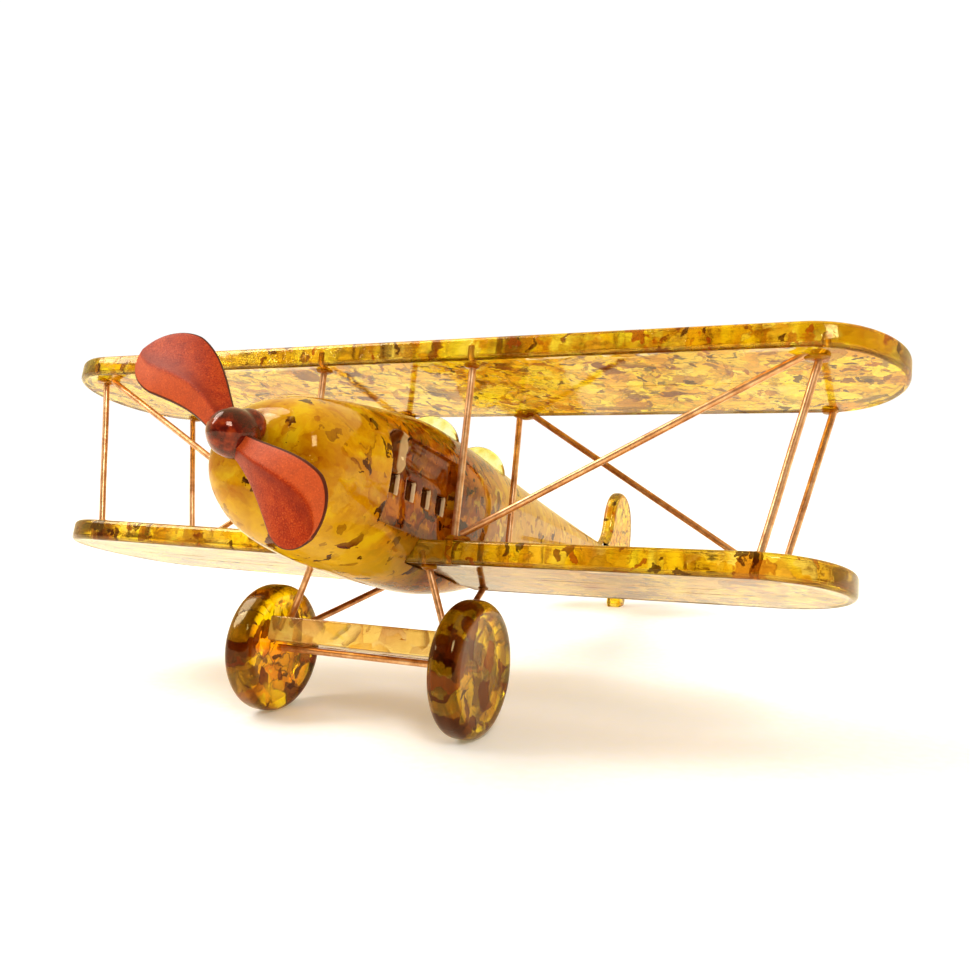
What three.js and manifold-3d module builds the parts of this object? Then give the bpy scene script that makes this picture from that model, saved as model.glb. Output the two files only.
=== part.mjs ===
// Propeller biplane ornament: carved slabs of pressed amber held together by copper-coated rods.
// Millimetres, +Z up, nose towards -Y, port side +X. The aircraft is drawn level first, with
// z = 0 on the top face of the lower wings and y = 0 at the front strut row, and is then
// tipped back until the two wheels and the tail skid stand on z = 0.
import * as THREE from 'three';
import { mergeVertices } from 'three/addons/utils/BufferGeometryUtils.js';
import Module from 'manifold-3d';

const wasm = await Module();
wasm.setup();

const FIT_GAP = 0.3;                 // clearance wherever one piece sits in or on another
const RUNNING_GAP = 0.1;             // clearance on the wheel and propeller bearings
const ROD_RADIUS = 0.8;
const SITTING_ANGLE = THREE.MathUtils.degToRad(16.6);   // nose-up attitude on the ground

// wings
const WING_THICKNESS = 5.4;
const WING_CHORD = 43;
const WING_GAP = 41.4;               // top of the lower wing to the underside of the upper one
const UPPER_HALF_SPAN = 112.3;
const LOWER_HALF_SPAN = 103.8;
const WING_TIP_LENGTH = 19;
const WING_EDGE_RADIUS = 1.2;
const TIP_STEPS = 16;
const UPPER_LEADING_EDGE = -6.6;
const LOWER_LEADING_EDGE = -5.2;
const LOWER_WING_ROOT = 9;           // each lower wing panel runs this close to the centre plane
const LOWER_DIHEDRAL = THREE.MathUtils.degToRad(0.7);

// interplane rods
const FRONT_ROW = 0;
const REAR_ROW = 34;
const SOCKET_DEPTH = 4.4;
const BRACE_SOCKET_DEPTH = 1.4;      // the slanting braces are only let in this far

// landing gear
const WHEEL_RADIUS = 15.1;
const WHEEL_WIDTH = 7.3;
const WHEEL_RIM_RADIUS = 2.7;
const WHEEL_DISH_RADIUS = 9.5;
const WHEEL_DISH_DEPTH = 0.7;
const WHEEL_CENTRE_X = 26.6;
const WHEEL_BORE_DEPTH = 4.5;
const AXLE_Y = 4.2;
const AXLE_Z = -26.45;
const BAR_HALF_LENGTH = 22.4;
const BAR_DEPTH = 16.5;
const BAR_HEIGHT = 5.7;
const BAR_TOP = -19.6;
const BAR_Y = AXLE_Y - 0.2;
const BAR_EDGE = 0.5;
const AXLE_END_PLAY = 0.5;
const LEG_SOCKET_DEPTH = 3.5;

// propeller
const SHAFT_Z = 9.6;
const HUB_Y = -53.4;
const HUB_RADIUS = 4.9;
const HUB_HALF_LENGTH = 5.6;
const HUB_BORE_END = HUB_Y - 2;
const PIN_FRONT = HUB_Y - 1.5;
const PIN_REAR = -36.5;              // fixed end, let into the nose of the fuselage
const PIN_HOLE_END = -36;
const BLADE_ROOT_HALF_WIDTH = 2.9;
const BLADE_THICKNESS = 1.9;
const BLADE_THINNING = 0.35;         // share of the thickness lost towards the tip
const BLADE_STATIONS = 14;
const BLADE_SIDES = 12;
const BLADE_SQUARENESS = 0.7;        // 1 gives an elliptical section, lower gives a squarer one
const BLADE_PITCH_ROOT = THREE.MathUtils.degToRad(-24);
const BLADE_PITCH_TIP = THREE.MathUtils.degToRad(-8);
// The hand-cut blades differ a little: angle above the port side in degrees, tip radius, how far
// the leaf bows to one side of the line from the hub, half width, the fraction of its length
// where it is widest, and the share of a half wave that the bow follows (at 1 the tip is back
// on the line, below 1 the tip stays off it).
const BLADES = [
  ['propeller_blade_1', 147, 32.2, -2.5, 7.6, 0.68, 1],
  ['propeller_blade_2', -47, 28.7, 3.6, 8.0, 0.72, 0.75],
];

// tail
const TAIL_END = 185;
const TAILPLANE_HALF_SPAN = 36;
const TAILPLANE_CHORD = 25;
const TAILPLANE_STRAIGHT = 4;        // half length of its straight middle
const TAILPLANE_TIP_STEPS = 14;
const TAILPLANE_EDGE_RADIUS = 1;
const TAILPLANE_THICKNESS = 4;
const TAILPLANE_TOP = 28.6;
const TAILPLANE_LEADING_EDGE = 156;
const FIN_THICKNESS = 4.6;
const FIN_FRONT = 150;
const FIN_REAR = 185;
const FIN_TOP = 53.3;
const FIN_FILLET = 10;               // length and height of the swept fillet at the fin's foot
const FIN_CROWN = 21;                // the fin's front to its highest point
const FIN_SQUARE_FOOT = 9;           // straight part of the rear edge
const TAIL_CUT_HALF_WIDTH = 10;
const SKID_FOOT_Y = 179.4;
const SKID_FOOT_Z = 10.09;
const SKID_WIDTH = 5.8;
const SKID_LENGTH = 7.6;
const SKID_HEAD = [1.6, 4, 2, 1.2];   // half width, half length, rake forward, gap under the tailplane

// windscreens
const SCREEN_RADIUS = 9.5;
const SCREEN_CENTRE_Z = 26.2;
const SCREEN_THICKNESS = 1.1;
const SCREEN_STATIONS = [17, 45];
const SCREEN_TUCK = 3;               // how far the screens reach down into the deck

// fuselage stations: y, half width, belly, widest height, deck
const FUSELAGE = [
  [-47.0, 5.4, 5.0, 9.2, 13.2],
  [-45.6, 11.6, -0.6, 8.6, 17.2],
  [-41.6, 14.9, -4.8, 8.4, 20.6],
  [-34.0, 16.2, -8.3, 8.8, 23.3],
  [-18.0, 16.5, -10.0, 9.6, 27.1],
  [2.0, 16.3, -10.2, 10.6, 30.8],
  [22.0, 15.6, -9.2, 12.0, 31.5],
  [44.0, 13.6, -4.4, 14.0, 31.2],
  [80.0, 9.8, 6.0, 18.0, 30.2],
  [120.0, 6.6, 14.6, 22.2, 29.5],
  [164.0, 4.0, 20.6, 25.2, 29.0],
  [TAIL_END, 2.9, 22.4, 25.4, 28.4],
];
const FUSELAGE_RINGS = 30;
const FUSELAGE_SIDES = 28;
const FUSELAGE_SQUARENESS = 2.3;     // 2 gives ellipses, higher gives flatter flanks

// flank carving
const FLANK_FACE = 13.4;
const FLANK_FRONT = -23;
const FLANK_REAR = 8;
const FLANK_TOP = 20.5;
const FLANK_CUT_REACH = 10;
const LOUVRE_COUNT = 4;
const LOUVRE_PITCH = 7.1;
const LOUVRE_FIRST = -18.6;
const LOUVRE_SIZE = [3.2, 2.4, 4.2]; // depth into the flank, length, height
const LOUVRE_Z = 9.6;
const SCOOP_RADIUS = 4.4;
const SCOOP_CENTRE = [-17.5, 17.2];  // y, z
const SCOOP_DEPTH = 2.6;

const MATERIALS = {
  body: [0xc08a1e, 0.12, 0],
  wing: [0xc9961f, 0.12, 0],
  tail: [0xd3a93a, 0.14, 0],
  wheel: [0x9a5a12, 0.1, 0],
  bar: [0xcaa24a, 0.2, 0],
  screen: [0xe3cf5a, 0.08, 0],
  rod: [0xb8703c, 0.35, 0.9],
  blade: [0xa8401f, 0.5, 0.1],
  hub: [0x5e160d, 0.15, 0],
};

function makeMaterial(kind) {
  const [color, roughness, metalness] = MATERIALS[kind];
  return new THREE.MeshStandardMaterial({ color, roughness, metalness });
}

// ---- closed-body helpers -------------------------------------------------------------------

function toManifold(geometry) {
  const bare = geometry.clone();
  bare.deleteAttribute('normal');
  bare.deleteAttribute('uv');
  const welded = mergeVertices(bare, 1e-3);
  const corners = [];
  for (let i = 0; i < welded.index.count; i += 3) {
    const [a, b, c] = [0, 1, 2].map((k) => welded.index.getX(i + k));
    if (a !== b && b !== c && c !== a) corners.push(a, b, c);
  }
  return new wasm.Manifold(new wasm.Mesh({
    numProp: 3,
    vertProperties: Float32Array.from(welded.attributes.position.array),
    triVerts: Uint32Array.from(corners),
  }));
}

function fromManifold(solid) {
  const mesh = solid.getMesh();
  const geometry = new THREE.BufferGeometry();
  geometry.setAttribute('position', new THREE.BufferAttribute(mesh.vertProperties, 3));
  geometry.setIndex(new THREE.BufferAttribute(mesh.triVerts, 1));
  geometry.computeVertexNormals();
  return geometry;
}

function subtract(geometry, cutters) {
  let solid = toManifold(geometry);
  for (const cutter of cutters) solid = solid.subtract(toManifold(cutter));
  return fromManifold(solid);
}

// Skin over a list of convex rings with equal point counts, closed by a fan at each end.
function loft(rings) {
  const sides = rings[0].length;
  const points = rings.flat();
  const index = [];
  for (let ring = 0; ring < rings.length - 1; ring++) {
    for (let side = 0; side < sides; side++) {
      const a = ring * sides + side;
      const b = ring * sides + (side + 1) % sides;
      index.push(a, b, b + sides, a, b + sides, a + sides);
    }
  }
  for (const [ring, flip] of [[0, true], [rings.length - 1, false]]) {
    const hub = points.length;
    const middle = rings[ring].reduce((sum, p) => sum.add(p), new THREE.Vector3());
    points.push(middle.divideScalar(sides));
    for (let side = 0; side < sides; side++) {
      const a = ring * sides + side;
      const b = ring * sides + (side + 1) % sides;
      if (flip) index.push(b, a, hub);
      else index.push(a, b, hub);
    }
  }
  const geometry = new THREE.BufferGeometry().setFromPoints(points);
  geometry.setIndex(index);
  return geometry;
}

function box(x0, x1, y0, y1, z0, z1) {
  const geometry = new THREE.BoxGeometry(x1 - x0, y1 - y0, z1 - z0);
  return geometry.translate((x0 + x1) / 2, (y0 + y1) / 2, (z0 + z1) / 2);
}

// Straight round rod between two points.
function rod(from, to, radius = ROD_RADIUS, sides = 16) {
  const start = new THREE.Vector3(...from);
  const end = new THREE.Vector3(...to);
  const axis = end.clone().sub(start);
  const geometry = new THREE.CylinderGeometry(radius, radius, axis.length(), sides);
  const turn = new THREE.Quaternion().setFromUnitVectors(new THREE.Vector3(0, 1, 0), axis.normalize());
  geometry.applyQuaternion(turn);
  const middle = start.add(end).divideScalar(2);
  return geometry.translate(middle.x, middle.y, middle.z);
}

// Point on the line from -> to, carried on past the end by a distance.
function beyond(from, to, distance) {
  const end = new THREE.Vector3(...to);
  const step = end.clone().sub(new THREE.Vector3(...from)).normalize();
  return end.addScaledVector(step, distance).toArray();
}

function mirrored(point, side) {
  return [point[0] * side, point[1], point[2]];
}

// ---- wings ---------------------------------------------------------------------------------

// Plan outline with straight edges and an elliptical tip, drawn counter-clockwise from above.
function tipArc(side, tipStart, tipLength, chord, lead, inset, steps) {
  const points = [];
  for (let i = 0; i <= steps; i++) {
    const angle = side * Math.PI * (i / steps - 0.5);
    points.push([
      side * (tipStart + (tipLength - inset) * Math.cos(angle)),
      lead + chord / 2 + (chord / 2 - inset) * Math.sin(angle),
    ]);
  }
  return points;
}

// Flat slab with rounded edges; outline(inset) returns the plan shrunk by that inset.
function slab(outline, bottom, thickness, edge, steps = 3) {
  const levels = [];
  for (let i = 0; i <= steps; i++) {
    const angle = (Math.PI / 2) * (i / steps);
    levels.push([edge * (1 - Math.sin(angle)), edge * (1 - Math.cos(angle))]);
  }
  const lower = levels.map(([inset, rise]) => [inset, bottom + rise]);
  const upper = levels.map(([inset, rise]) => [inset, bottom + thickness - rise]).reverse();
  const rings = [...lower, ...upper].map(([inset, z]) =>
    outline(inset).map(([x, y]) => new THREE.Vector3(x, y, z)));
  return loft(rings);
}

function upperWingOutline(inset) {
  const start = UPPER_HALF_SPAN - WING_TIP_LENGTH;
  const tip = (side) =>
    tipArc(side, start, WING_TIP_LENGTH, WING_CHORD, UPPER_LEADING_EDGE, inset, TIP_STEPS);
  return [...tip(1), ...tip(-1)];
}

function lowerWingOutline(side, inset, growth = 0) {
  const start = LOWER_HALF_SPAN - WING_TIP_LENGTH;
  const tip = tipArc(
    side, start, WING_TIP_LENGTH, WING_CHORD, LOWER_LEADING_EDGE, inset - growth, TIP_STEPS);
  const root = side * (LOWER_WING_ROOT - growth);
  return [[root, tip[0][1]], ...tip, [root, tip[tip.length - 1][1]]];
}

function lowerWing(side, growth = 0) {
  const outline = (inset) => lowerWingOutline(side, inset, growth);
  const bottom = -WING_THICKNESS - growth;
  const panel = slab(outline, bottom, WING_THICKNESS + 2 * growth, WING_EDGE_RADIUS);
  return panel.rotateY(-side * LOWER_DIHEDRAL);
}

// Point on the top face of the port lower wing.
function onLowerWing(x, y) {
  return [x, y, x * Math.tan(LOWER_DIHEDRAL)];
}

function underLowerWing(x, y) {
  return [x, y, x * Math.tan(LOWER_DIHEDRAL) - WING_THICKNESS];
}

// Rods of one side between the wings: name, foot on the lower wing, head on the upper wing.
// A rod marked true is let into the lower wing; the braces butt against a strut foot instead.
const CELLULE = [
  ['outer_front_strut', onLowerWing(87.2, FRONT_ROW), [96.4, -0.5, WING_GAP], true],
  ['outer_rear_strut', onLowerWing(85.6, REAR_ROW), [95.3, REAR_ROW, WING_GAP], true],
  ['inner_front_strut', onLowerWing(20.5, FRONT_ROW), [20.6, -2.4, WING_GAP], true],
  ['inner_rear_strut', onLowerWing(18.3, REAR_ROW), [16.9, REAR_ROW, WING_GAP], true],
  ['front_brace', [22.2, -0.2, 2.3], [93.4, -1.0, WING_GAP], false],
  ['rear_brace', [83.6, REAR_ROW, 2.2], [20.3, REAR_ROW, WING_GAP], false],
];

function rodEnds([, foot, head, stands], side) {
  const low = stands ? beyond(head, foot, SOCKET_DEPTH - FIT_GAP) : foot;
  const high = beyond(foot, head, (stands ? SOCKET_DEPTH : BRACE_SOCKET_DEPTH) - FIT_GAP);
  return [mirrored(low, side), mirrored(high, side)];
}

// Drill tools for the sockets, a little wider and deeper than the rods.
function sockets(ends, radius = ROD_RADIUS + FIT_GAP) {
  return ends.map(([low, high]) =>
    rod(beyond(high, low, FIT_GAP), beyond(low, high, FIT_GAP), radius, 12));
}

// ---- fuselage ------------------------------------------------------------------------------

function fuselageSection(t) {
  const count = FUSELAGE.length - 1;
  const place = Math.min(count - 1e-6, t * count);
  const i = Math.floor(place);
  const u = place - i;
  const row = (k) => FUSELAGE[Math.max(0, Math.min(count, k))];
  const blend = (column) => {
    const [p0, p1, p2, p3] = [i - 1, i, i + 1, i + 2].map((k) => row(k)[column]);
    const a = 2 * p1 + (p2 - p0) * u;
    const b = (2 * p0 - 5 * p1 + 4 * p2 - p3) * u * u;
    const c = (3 * p1 - p0 - 3 * p2 + p3) * u * u * u;
    return (a + b + c) / 2;
  };
  return FUSELAGE[0].map((_, column) => blend(column));
}

function fuselageRing([y, halfWidth, belly, waist, deck]) {
  const ring = [];
  for (let i = 0; i < FUSELAGE_SIDES; i++) {
    const angle = (2 * Math.PI * i) / FUSELAGE_SIDES;
    const power = 2 / FUSELAGE_SQUARENESS;
    const across = Math.sign(Math.cos(angle)) * Math.abs(Math.cos(angle)) ** power;
    const rise = Math.sign(Math.sin(angle)) * Math.abs(Math.sin(angle)) ** power;
    const height = rise > 0 ? deck - waist : waist - belly;
    ring.push(new THREE.Vector3(halfWidth * across, y, waist + height * rise));
  }
  return ring.reverse();
}

function fuselageHull() {
  const rings = [];
  for (let i = 0; i <= FUSELAGE_RINGS; i++) rings.push(fuselageRing(fuselageSection(i / FUSELAGE_RINGS)));
  return loft(rings);
}

// Recessed flank, its four louvre slots and the round scoop ahead of them.
function flankCutters(side) {
  const between = (x0, x1) => [Math.min(side * x0, side * x1), Math.max(side * x0, side * x1)];
  const [inner, outer] = between(FLANK_FACE, FLANK_FACE + FLANK_CUT_REACH);
  const cutters = [box(inner, outer, FLANK_FRONT, FLANK_REAR, FIT_GAP, FLANK_TOP)];
  const [depth, length, height] = LOUVRE_SIZE;
  for (let i = 0; i < LOUVRE_COUNT; i++) {
    const y = LOUVRE_FIRST + i * LOUVRE_PITCH;
    const [x0, x1] = between(FLANK_FACE - depth, FLANK_FACE + 1);
    cutters.push(box(x0, x1, y, y + length, LOUVRE_Z - height / 2, LOUVRE_Z + height / 2));
  }
  const [y, z] = SCOOP_CENTRE;
  const start = [side * (FLANK_FACE - SCOOP_DEPTH), y, z];
  cutters.push(rod(start, [side * (FLANK_FACE + 1), y, z], SCOOP_RADIUS, 24));
  return cutters;
}

function fuselage() {
  const cutters = [
    ...[1, -1].flatMap((side) => [lowerWing(side, FIT_GAP), ...flankCutters(side)]),
    ...SCREEN_STATIONS.map((y) => windscreen(y, FIT_GAP)),
    tailplane(FIT_GAP),
    box(-TAIL_CUT_HALF_WIDTH, TAIL_CUT_HALF_WIDTH, FIN_FRONT - FIT_GAP, TAIL_END + 1,
      TAILPLANE_TOP, FIN_TOP),
    tailSkid(FIT_GAP),
    rod([0, HUB_Y, SHAFT_Z], [0, PIN_HOLE_END, SHAFT_Z], ROD_RADIUS + FIT_GAP, 12),
  ];
  return subtract(fuselageHull(), cutters);
}

// ---- deck, tail and skid -------------------------------------------------------------------

// Thin half disc standing across the deck.
function windscreen(y, growth = 0) {
  const radius = SCREEN_RADIUS + growth;
  const shape = new THREE.Shape();
  const foot = SCREEN_CENTRE_Z - SCREEN_TUCK - growth;
  shape.moveTo(radius, foot);
  shape.absarc(0, SCREEN_CENTRE_Z, radius, 0, Math.PI);
  shape.lineTo(-radius, foot);
  const depth = SCREEN_THICKNESS + 2 * growth;
  const geometry = new THREE.ExtrudeGeometry(shape, { depth, bevelEnabled: false, curveSegments: 10 });
  geometry.rotateX(Math.PI / 2);
  return geometry.translate(0, y + depth / 2, 0);
}

// Rounded plate in the centre plane with a swept fillet running forward along the spine.
function tailFin() {
  const foot = TAILPLANE_TOP + FIT_GAP;
  const shape = new THREE.Shape();
  shape.moveTo(FIN_FRONT, foot);
  const [fillet, crown] = [FIN_FRONT + FIN_FILLET, FIN_FRONT + FIN_CROWN];
  shape.quadraticCurveTo(fillet - 1, foot + 3, fillet, foot + FIN_FILLET);
  shape.bezierCurveTo(fillet + 1, FIN_TOP - 2, crown - 4, FIN_TOP, crown, FIN_TOP);
  shape.bezierCurveTo(crown + 6, FIN_TOP, FIN_REAR - 1, FIN_TOP - 3, FIN_REAR, foot + FIN_SQUARE_FOOT);
  shape.lineTo(FIN_REAR, foot);
  const settings = { depth: FIN_THICKNESS, bevelEnabled: false, curveSegments: 8 };
  const geometry = new THREE.ExtrudeGeometry(shape, settings);
  geometry.translate(0, 0, -FIN_THICKNESS / 2);
  geometry.rotateX(Math.PI / 2);
  geometry.rotateZ(Math.PI / 2);
  return geometry;
}

function tailplane(growth = 0) {
  const outline = (inset) => [1, -1].flatMap((side) => tipArc(
    side, TAILPLANE_STRAIGHT, TAILPLANE_HALF_SPAN - TAILPLANE_STRAIGHT, TAILPLANE_CHORD,
    TAILPLANE_LEADING_EDGE, inset - growth, TAILPLANE_TIP_STEPS));
  const bottom = TAILPLANE_TOP - TAILPLANE_THICKNESS - growth;
  return slab(outline, bottom, TAILPLANE_THICKNESS + 2 * growth, TAILPLANE_EDGE_RADIUS);
}

// Block under the tail; its foot is cut square to the ground line.
function tailSkid(growth = 0) {
  const half = SKID_WIDTH / 2 + growth;
  const tilt = new THREE.Matrix4().makeRotationX(SITTING_ANGLE);
  const foot = new THREE.Vector3(0, SKID_FOOT_Y, SKID_FOOT_Z);
  const ring = (y, z, halfWidth, halfLength) => [
    [-1, -1], [1, -1], [1, 1], [-1, 1],
  ].map(([a, b]) => new THREE.Vector3(a * halfWidth, y + b * halfLength, z));
  const sole = ring(0, 0, half, SKID_LENGTH / 2).map((p) => p.applyMatrix4(tilt).add(foot));
  const [headWidth, headLength, rake, gap] = SKID_HEAD;
  const headZ = TAILPLANE_TOP - TAILPLANE_THICKNESS - gap;
  const head = ring(SKID_FOOT_Y - rake, headZ, headWidth + growth, headLength + growth);
  return loft([sole, head]);
}

// ---- landing gear --------------------------------------------------------------------------

// Turned wheel: rounded rim, shallow dished faces, blind axle bore from the inner face.
function wheel(side) {
  const half = WHEEL_WIDTH / 2;
  const face = half - WHEEL_DISH_DEPTH;
  const bore = ROD_RADIUS + RUNNING_GAP;
  const profile = [[0, WHEEL_BORE_DEPTH - half], [bore, WHEEL_BORE_DEPTH - half], [bore, -face],
    [WHEEL_DISH_RADIUS, -face]];
  const rimCentre = half - WHEEL_RIM_RADIUS;
  const steps = 4;
  for (const [from, centre] of [[-Math.PI / 2, -rimCentre], [0, rimCentre]]) {
    for (let i = 0; i <= steps; i++) {
      const angle = from + (Math.PI / 2) * (i / steps);
      const radius = WHEEL_RADIUS - WHEEL_RIM_RADIUS * (1 - Math.cos(angle));
      profile.push([radius, centre + WHEEL_RIM_RADIUS * Math.sin(angle)]);
    }
  }
  profile.push([WHEEL_DISH_RADIUS, face], [0, face]);
  const points = profile.map(([radius, along]) => new THREE.Vector2(radius, along));
  const geometry = new THREE.LatheGeometry(points, 32);
  geometry.rotateZ(-side * Math.PI / 2);
  return geometry.translate(side * WHEEL_CENTRE_X, AXLE_Y, AXLE_Z);
}

function axleEnds() {
  const reach = WHEEL_CENTRE_X - WHEEL_WIDTH / 2 + WHEEL_BORE_DEPTH - AXLE_END_PLAY;
  return [[-reach, AXLE_Y, AXLE_Z], [reach, AXLE_Y, AXLE_Z]];
}

// Legs: name, foot on the spreader bar, head on the underside of the lower wing.
const LEGS = [
  ['front_leg', [20.9, 1.2, BAR_TOP], underLowerWing(15.5, -0.9)],
  ['rear_leg', [19.6, 7.6, BAR_TOP], underLowerWing(13.2, 33)],
];

function legEnds([, foot, head], side) {
  const low = beyond(head, foot, LEG_SOCKET_DEPTH - FIT_GAP);
  const high = beyond(foot, head, LEG_SOCKET_DEPTH - FIT_GAP);
  return [mirrored(low, side), mirrored(high, side)];
}

function spreaderBar() {
  const outline = (inset) => {
    const x = BAR_HALF_LENGTH - inset;
    const y = BAR_DEPTH / 2 - inset;
    return [[-x, BAR_Y - y], [x, BAR_Y - y], [x, BAR_Y + y], [-x, BAR_Y + y]];
  };
  const blank = slab(outline, BAR_TOP - BAR_HEIGHT, BAR_HEIGHT, BAR_EDGE, 1);
  return subtract(blank, sockets(LEGS.flatMap((leg) => [1, -1].map((side) => legEnds(leg, side)))));
}

// ---- propeller -----------------------------------------------------------------------------

function hubBlank(growth = 0) {
  const geometry = new THREE.SphereGeometry(1, 20, 12);
  geometry.scale(HUB_RADIUS + growth, HUB_HALF_LENGTH + growth, HUB_RADIUS + growth);
  return geometry.translate(0, HUB_Y, SHAFT_Z);
}

function propellerHub() {
  const inner = [0, HUB_BORE_END, SHAFT_Z];
  const mouth = [0, HUB_Y + HUB_HALF_LENGTH + 1, SHAFT_Z];
  const bore = rod(mouth, inner, ROD_RADIUS + RUNNING_GAP, 16);
  return subtract(hubBlank(), [bore]);
}

function bladeHalfWidth(s, full, widestAt) {
  if (s > widestAt) {
    const u = (s - widestAt) / (1 - widestAt);
    return full * Math.sqrt(Math.max(0.004, 1 - u * u));
  }
  const u = s / widestAt;
  const swell = u * u * (3 - 2 * u) * 0.5 + u * 0.5;
  return BLADE_ROOT_HALF_WIDTH + (full - BLADE_ROOT_HALF_WIDTH) * swell;
}

// Paddle blade built outward along +X, twisted about its own length, then turned to its angle.
function blade([, degrees, tipRadius, bow, fullHalfWidth, widestAt, bowShare]) {
  const rings = [];
  const rootRadius = HUB_RADIUS - 2;
  for (let i = 0; i <= BLADE_STATIONS; i++) {
    const s = Math.sin((Math.PI / 2) * (i / BLADE_STATIONS));
    const radius = rootRadius + (tipRadius - rootRadius) * s;
    const shift = bow * Math.sin(Math.PI * bowShare * s);
    const half = bladeHalfWidth(s, fullHalfWidth, widestAt);
    const thickness = (BLADE_THICKNESS / 2) * (1 - BLADE_THINNING * s);
    const pitch = BLADE_PITCH_ROOT + (BLADE_PITCH_TIP - BLADE_PITCH_ROOT) * s;
    const ring = [];
    for (let k = 0; k < BLADE_SIDES; k++) {
      const a = (2 * Math.PI * k) / BLADE_SIDES;
      const [c, n] = [Math.cos(a), Math.sin(a)];
      const across = shift + half * Math.sign(c) * Math.abs(c) ** BLADE_SQUARENESS;
      const deep = thickness * Math.sign(n) * Math.abs(n) ** BLADE_SQUARENESS;
      const y = across * Math.sin(pitch) + deep * Math.cos(pitch);
      const z = across * Math.cos(pitch) - deep * Math.sin(pitch);
      ring.push(new THREE.Vector3(radius, y, z));
    }
    rings.push(ring.reverse());
  }
  const geometry = loft(rings);
  geometry.rotateY(-THREE.MathUtils.degToRad(degrees));
  geometry.translate(0, HUB_Y, SHAFT_Z);
  return subtract(geometry, [hubBlank(FIT_GAP)]);
}

function propellerPin() {
  return rod([0, PIN_FRONT, SHAFT_Z], [0, PIN_REAR, SHAFT_Z]);
}

// ---- assembly ------------------------------------------------------------------------------

function pieceList() {
  const rods = CELLULE.flatMap((row) => [1, -1].map((side) => [row[0], side, rodEnds(row, side), row[3]]));
  const legs = LEGS.flatMap((row) => [1, -1].map((side) => [row[0], side, legEnds(row, side)]));
  const prefix = (side) => (side > 0 ? 'port_' : 'starboard_');
  const lowerTools = (side) => sockets([
    ...rods.filter(([, s, , stands]) => s === side && stands).map((row) => row[2]),
    ...legs.filter(([, s]) => s === side).map((row) => row[2]),
  ]);
  const upperBlank = slab(upperWingOutline, WING_GAP, WING_THICKNESS, WING_EDGE_RADIUS);
  const pieces = [
    ['fuselage', 'body', fuselage()],
    ['upper_wing', 'wing', subtract(upperBlank, sockets(rods.map((row) => row[2])))],
    ['port_lower_wing', 'wing', subtract(lowerWing(1), lowerTools(1))],
    ['starboard_lower_wing', 'wing', subtract(lowerWing(-1), lowerTools(-1))],
    ['front_windscreen', 'screen', windscreen(SCREEN_STATIONS[0])],
    ['rear_windscreen', 'screen', windscreen(SCREEN_STATIONS[1])],
    ['tail_fin', 'tail', tailFin()],
    ['tailplane', 'tail', tailplane()],
    ['tail_skid', 'tail', tailSkid()],
    ['spreader_bar', 'bar', spreaderBar()],
    ['axle', 'rod', rod(...axleEnds())],
    ['port_wheel', 'wheel', wheel(1)],
    ['starboard_wheel', 'wheel', wheel(-1)],
    ['propeller_hub', 'hub', propellerHub()],
    ...BLADES.map((row) => [row[0], 'blade', blade(row)]),
    ['propeller_pin', 'rod', propellerPin()],
  ];
  for (const [name, side, ends] of [...rods, ...legs]) {
    pieces.push([prefix(side) + name, 'rod', rod(...ends)]);
  }
  return pieces;
}

// Tip the level aircraft back onto the ground and centre it over the origin.
function standOnGround(group) {
  const level = new THREE.Matrix4().makeRotationX(-SITTING_ANGLE);
  for (const mesh of group.children) mesh.geometry.applyMatrix4(level);
  const bounds = new THREE.Box3().setFromObject(group);
  const middle = bounds.getCenter(new THREE.Vector3());
  const drop = new THREE.Matrix4().makeTranslation(0, -middle.y, -bounds.min.z);
  for (const mesh of group.children) mesh.geometry.applyMatrix4(drop);
}

const group = new THREE.Group();
group.name = 'propeller_plane_model';
for (const [name, kind, geometry] of pieceList()) {
  const mesh = new THREE.Mesh(fromManifold(toManifold(geometry)), makeMaterial(kind));
  mesh.name = name;
  group.add(mesh);
}
standOnGround(group);

export default group;
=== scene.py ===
"""Propeller biplane ornament in pressed amber: finished surfaces, materials, light and camera.

Shapes are drawn in the level aircraft frame in millimetres (z = 0 on top of the lower wings,
y = 0 at the front strut row, nose towards -y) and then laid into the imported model's row frame.
"""

import math

import bmesh
import bpy
import numpy as np
from mathutils import Matrix, Vector, noise


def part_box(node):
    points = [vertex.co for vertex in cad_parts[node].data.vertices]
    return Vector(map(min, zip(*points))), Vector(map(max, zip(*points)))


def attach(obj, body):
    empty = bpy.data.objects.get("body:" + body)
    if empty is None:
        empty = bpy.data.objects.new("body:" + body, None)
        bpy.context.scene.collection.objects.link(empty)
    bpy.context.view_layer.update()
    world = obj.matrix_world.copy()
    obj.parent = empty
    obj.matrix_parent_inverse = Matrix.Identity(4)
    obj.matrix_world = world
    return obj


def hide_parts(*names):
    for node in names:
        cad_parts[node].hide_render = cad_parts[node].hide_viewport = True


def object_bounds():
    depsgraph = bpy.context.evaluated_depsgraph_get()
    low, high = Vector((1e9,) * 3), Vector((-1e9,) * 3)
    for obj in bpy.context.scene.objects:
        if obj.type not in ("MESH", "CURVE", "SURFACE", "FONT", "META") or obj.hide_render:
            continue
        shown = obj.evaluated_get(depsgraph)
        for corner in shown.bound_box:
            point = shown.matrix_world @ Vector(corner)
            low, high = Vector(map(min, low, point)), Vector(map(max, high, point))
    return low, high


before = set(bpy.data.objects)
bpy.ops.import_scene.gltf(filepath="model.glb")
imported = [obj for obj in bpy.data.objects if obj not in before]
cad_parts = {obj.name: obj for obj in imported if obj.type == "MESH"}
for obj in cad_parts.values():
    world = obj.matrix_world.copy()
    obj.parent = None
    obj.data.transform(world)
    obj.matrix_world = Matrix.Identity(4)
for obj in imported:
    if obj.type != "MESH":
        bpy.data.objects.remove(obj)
CAD_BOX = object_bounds()
scene = bpy.context.scene
MM = 0.001

# ---- frame

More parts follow.
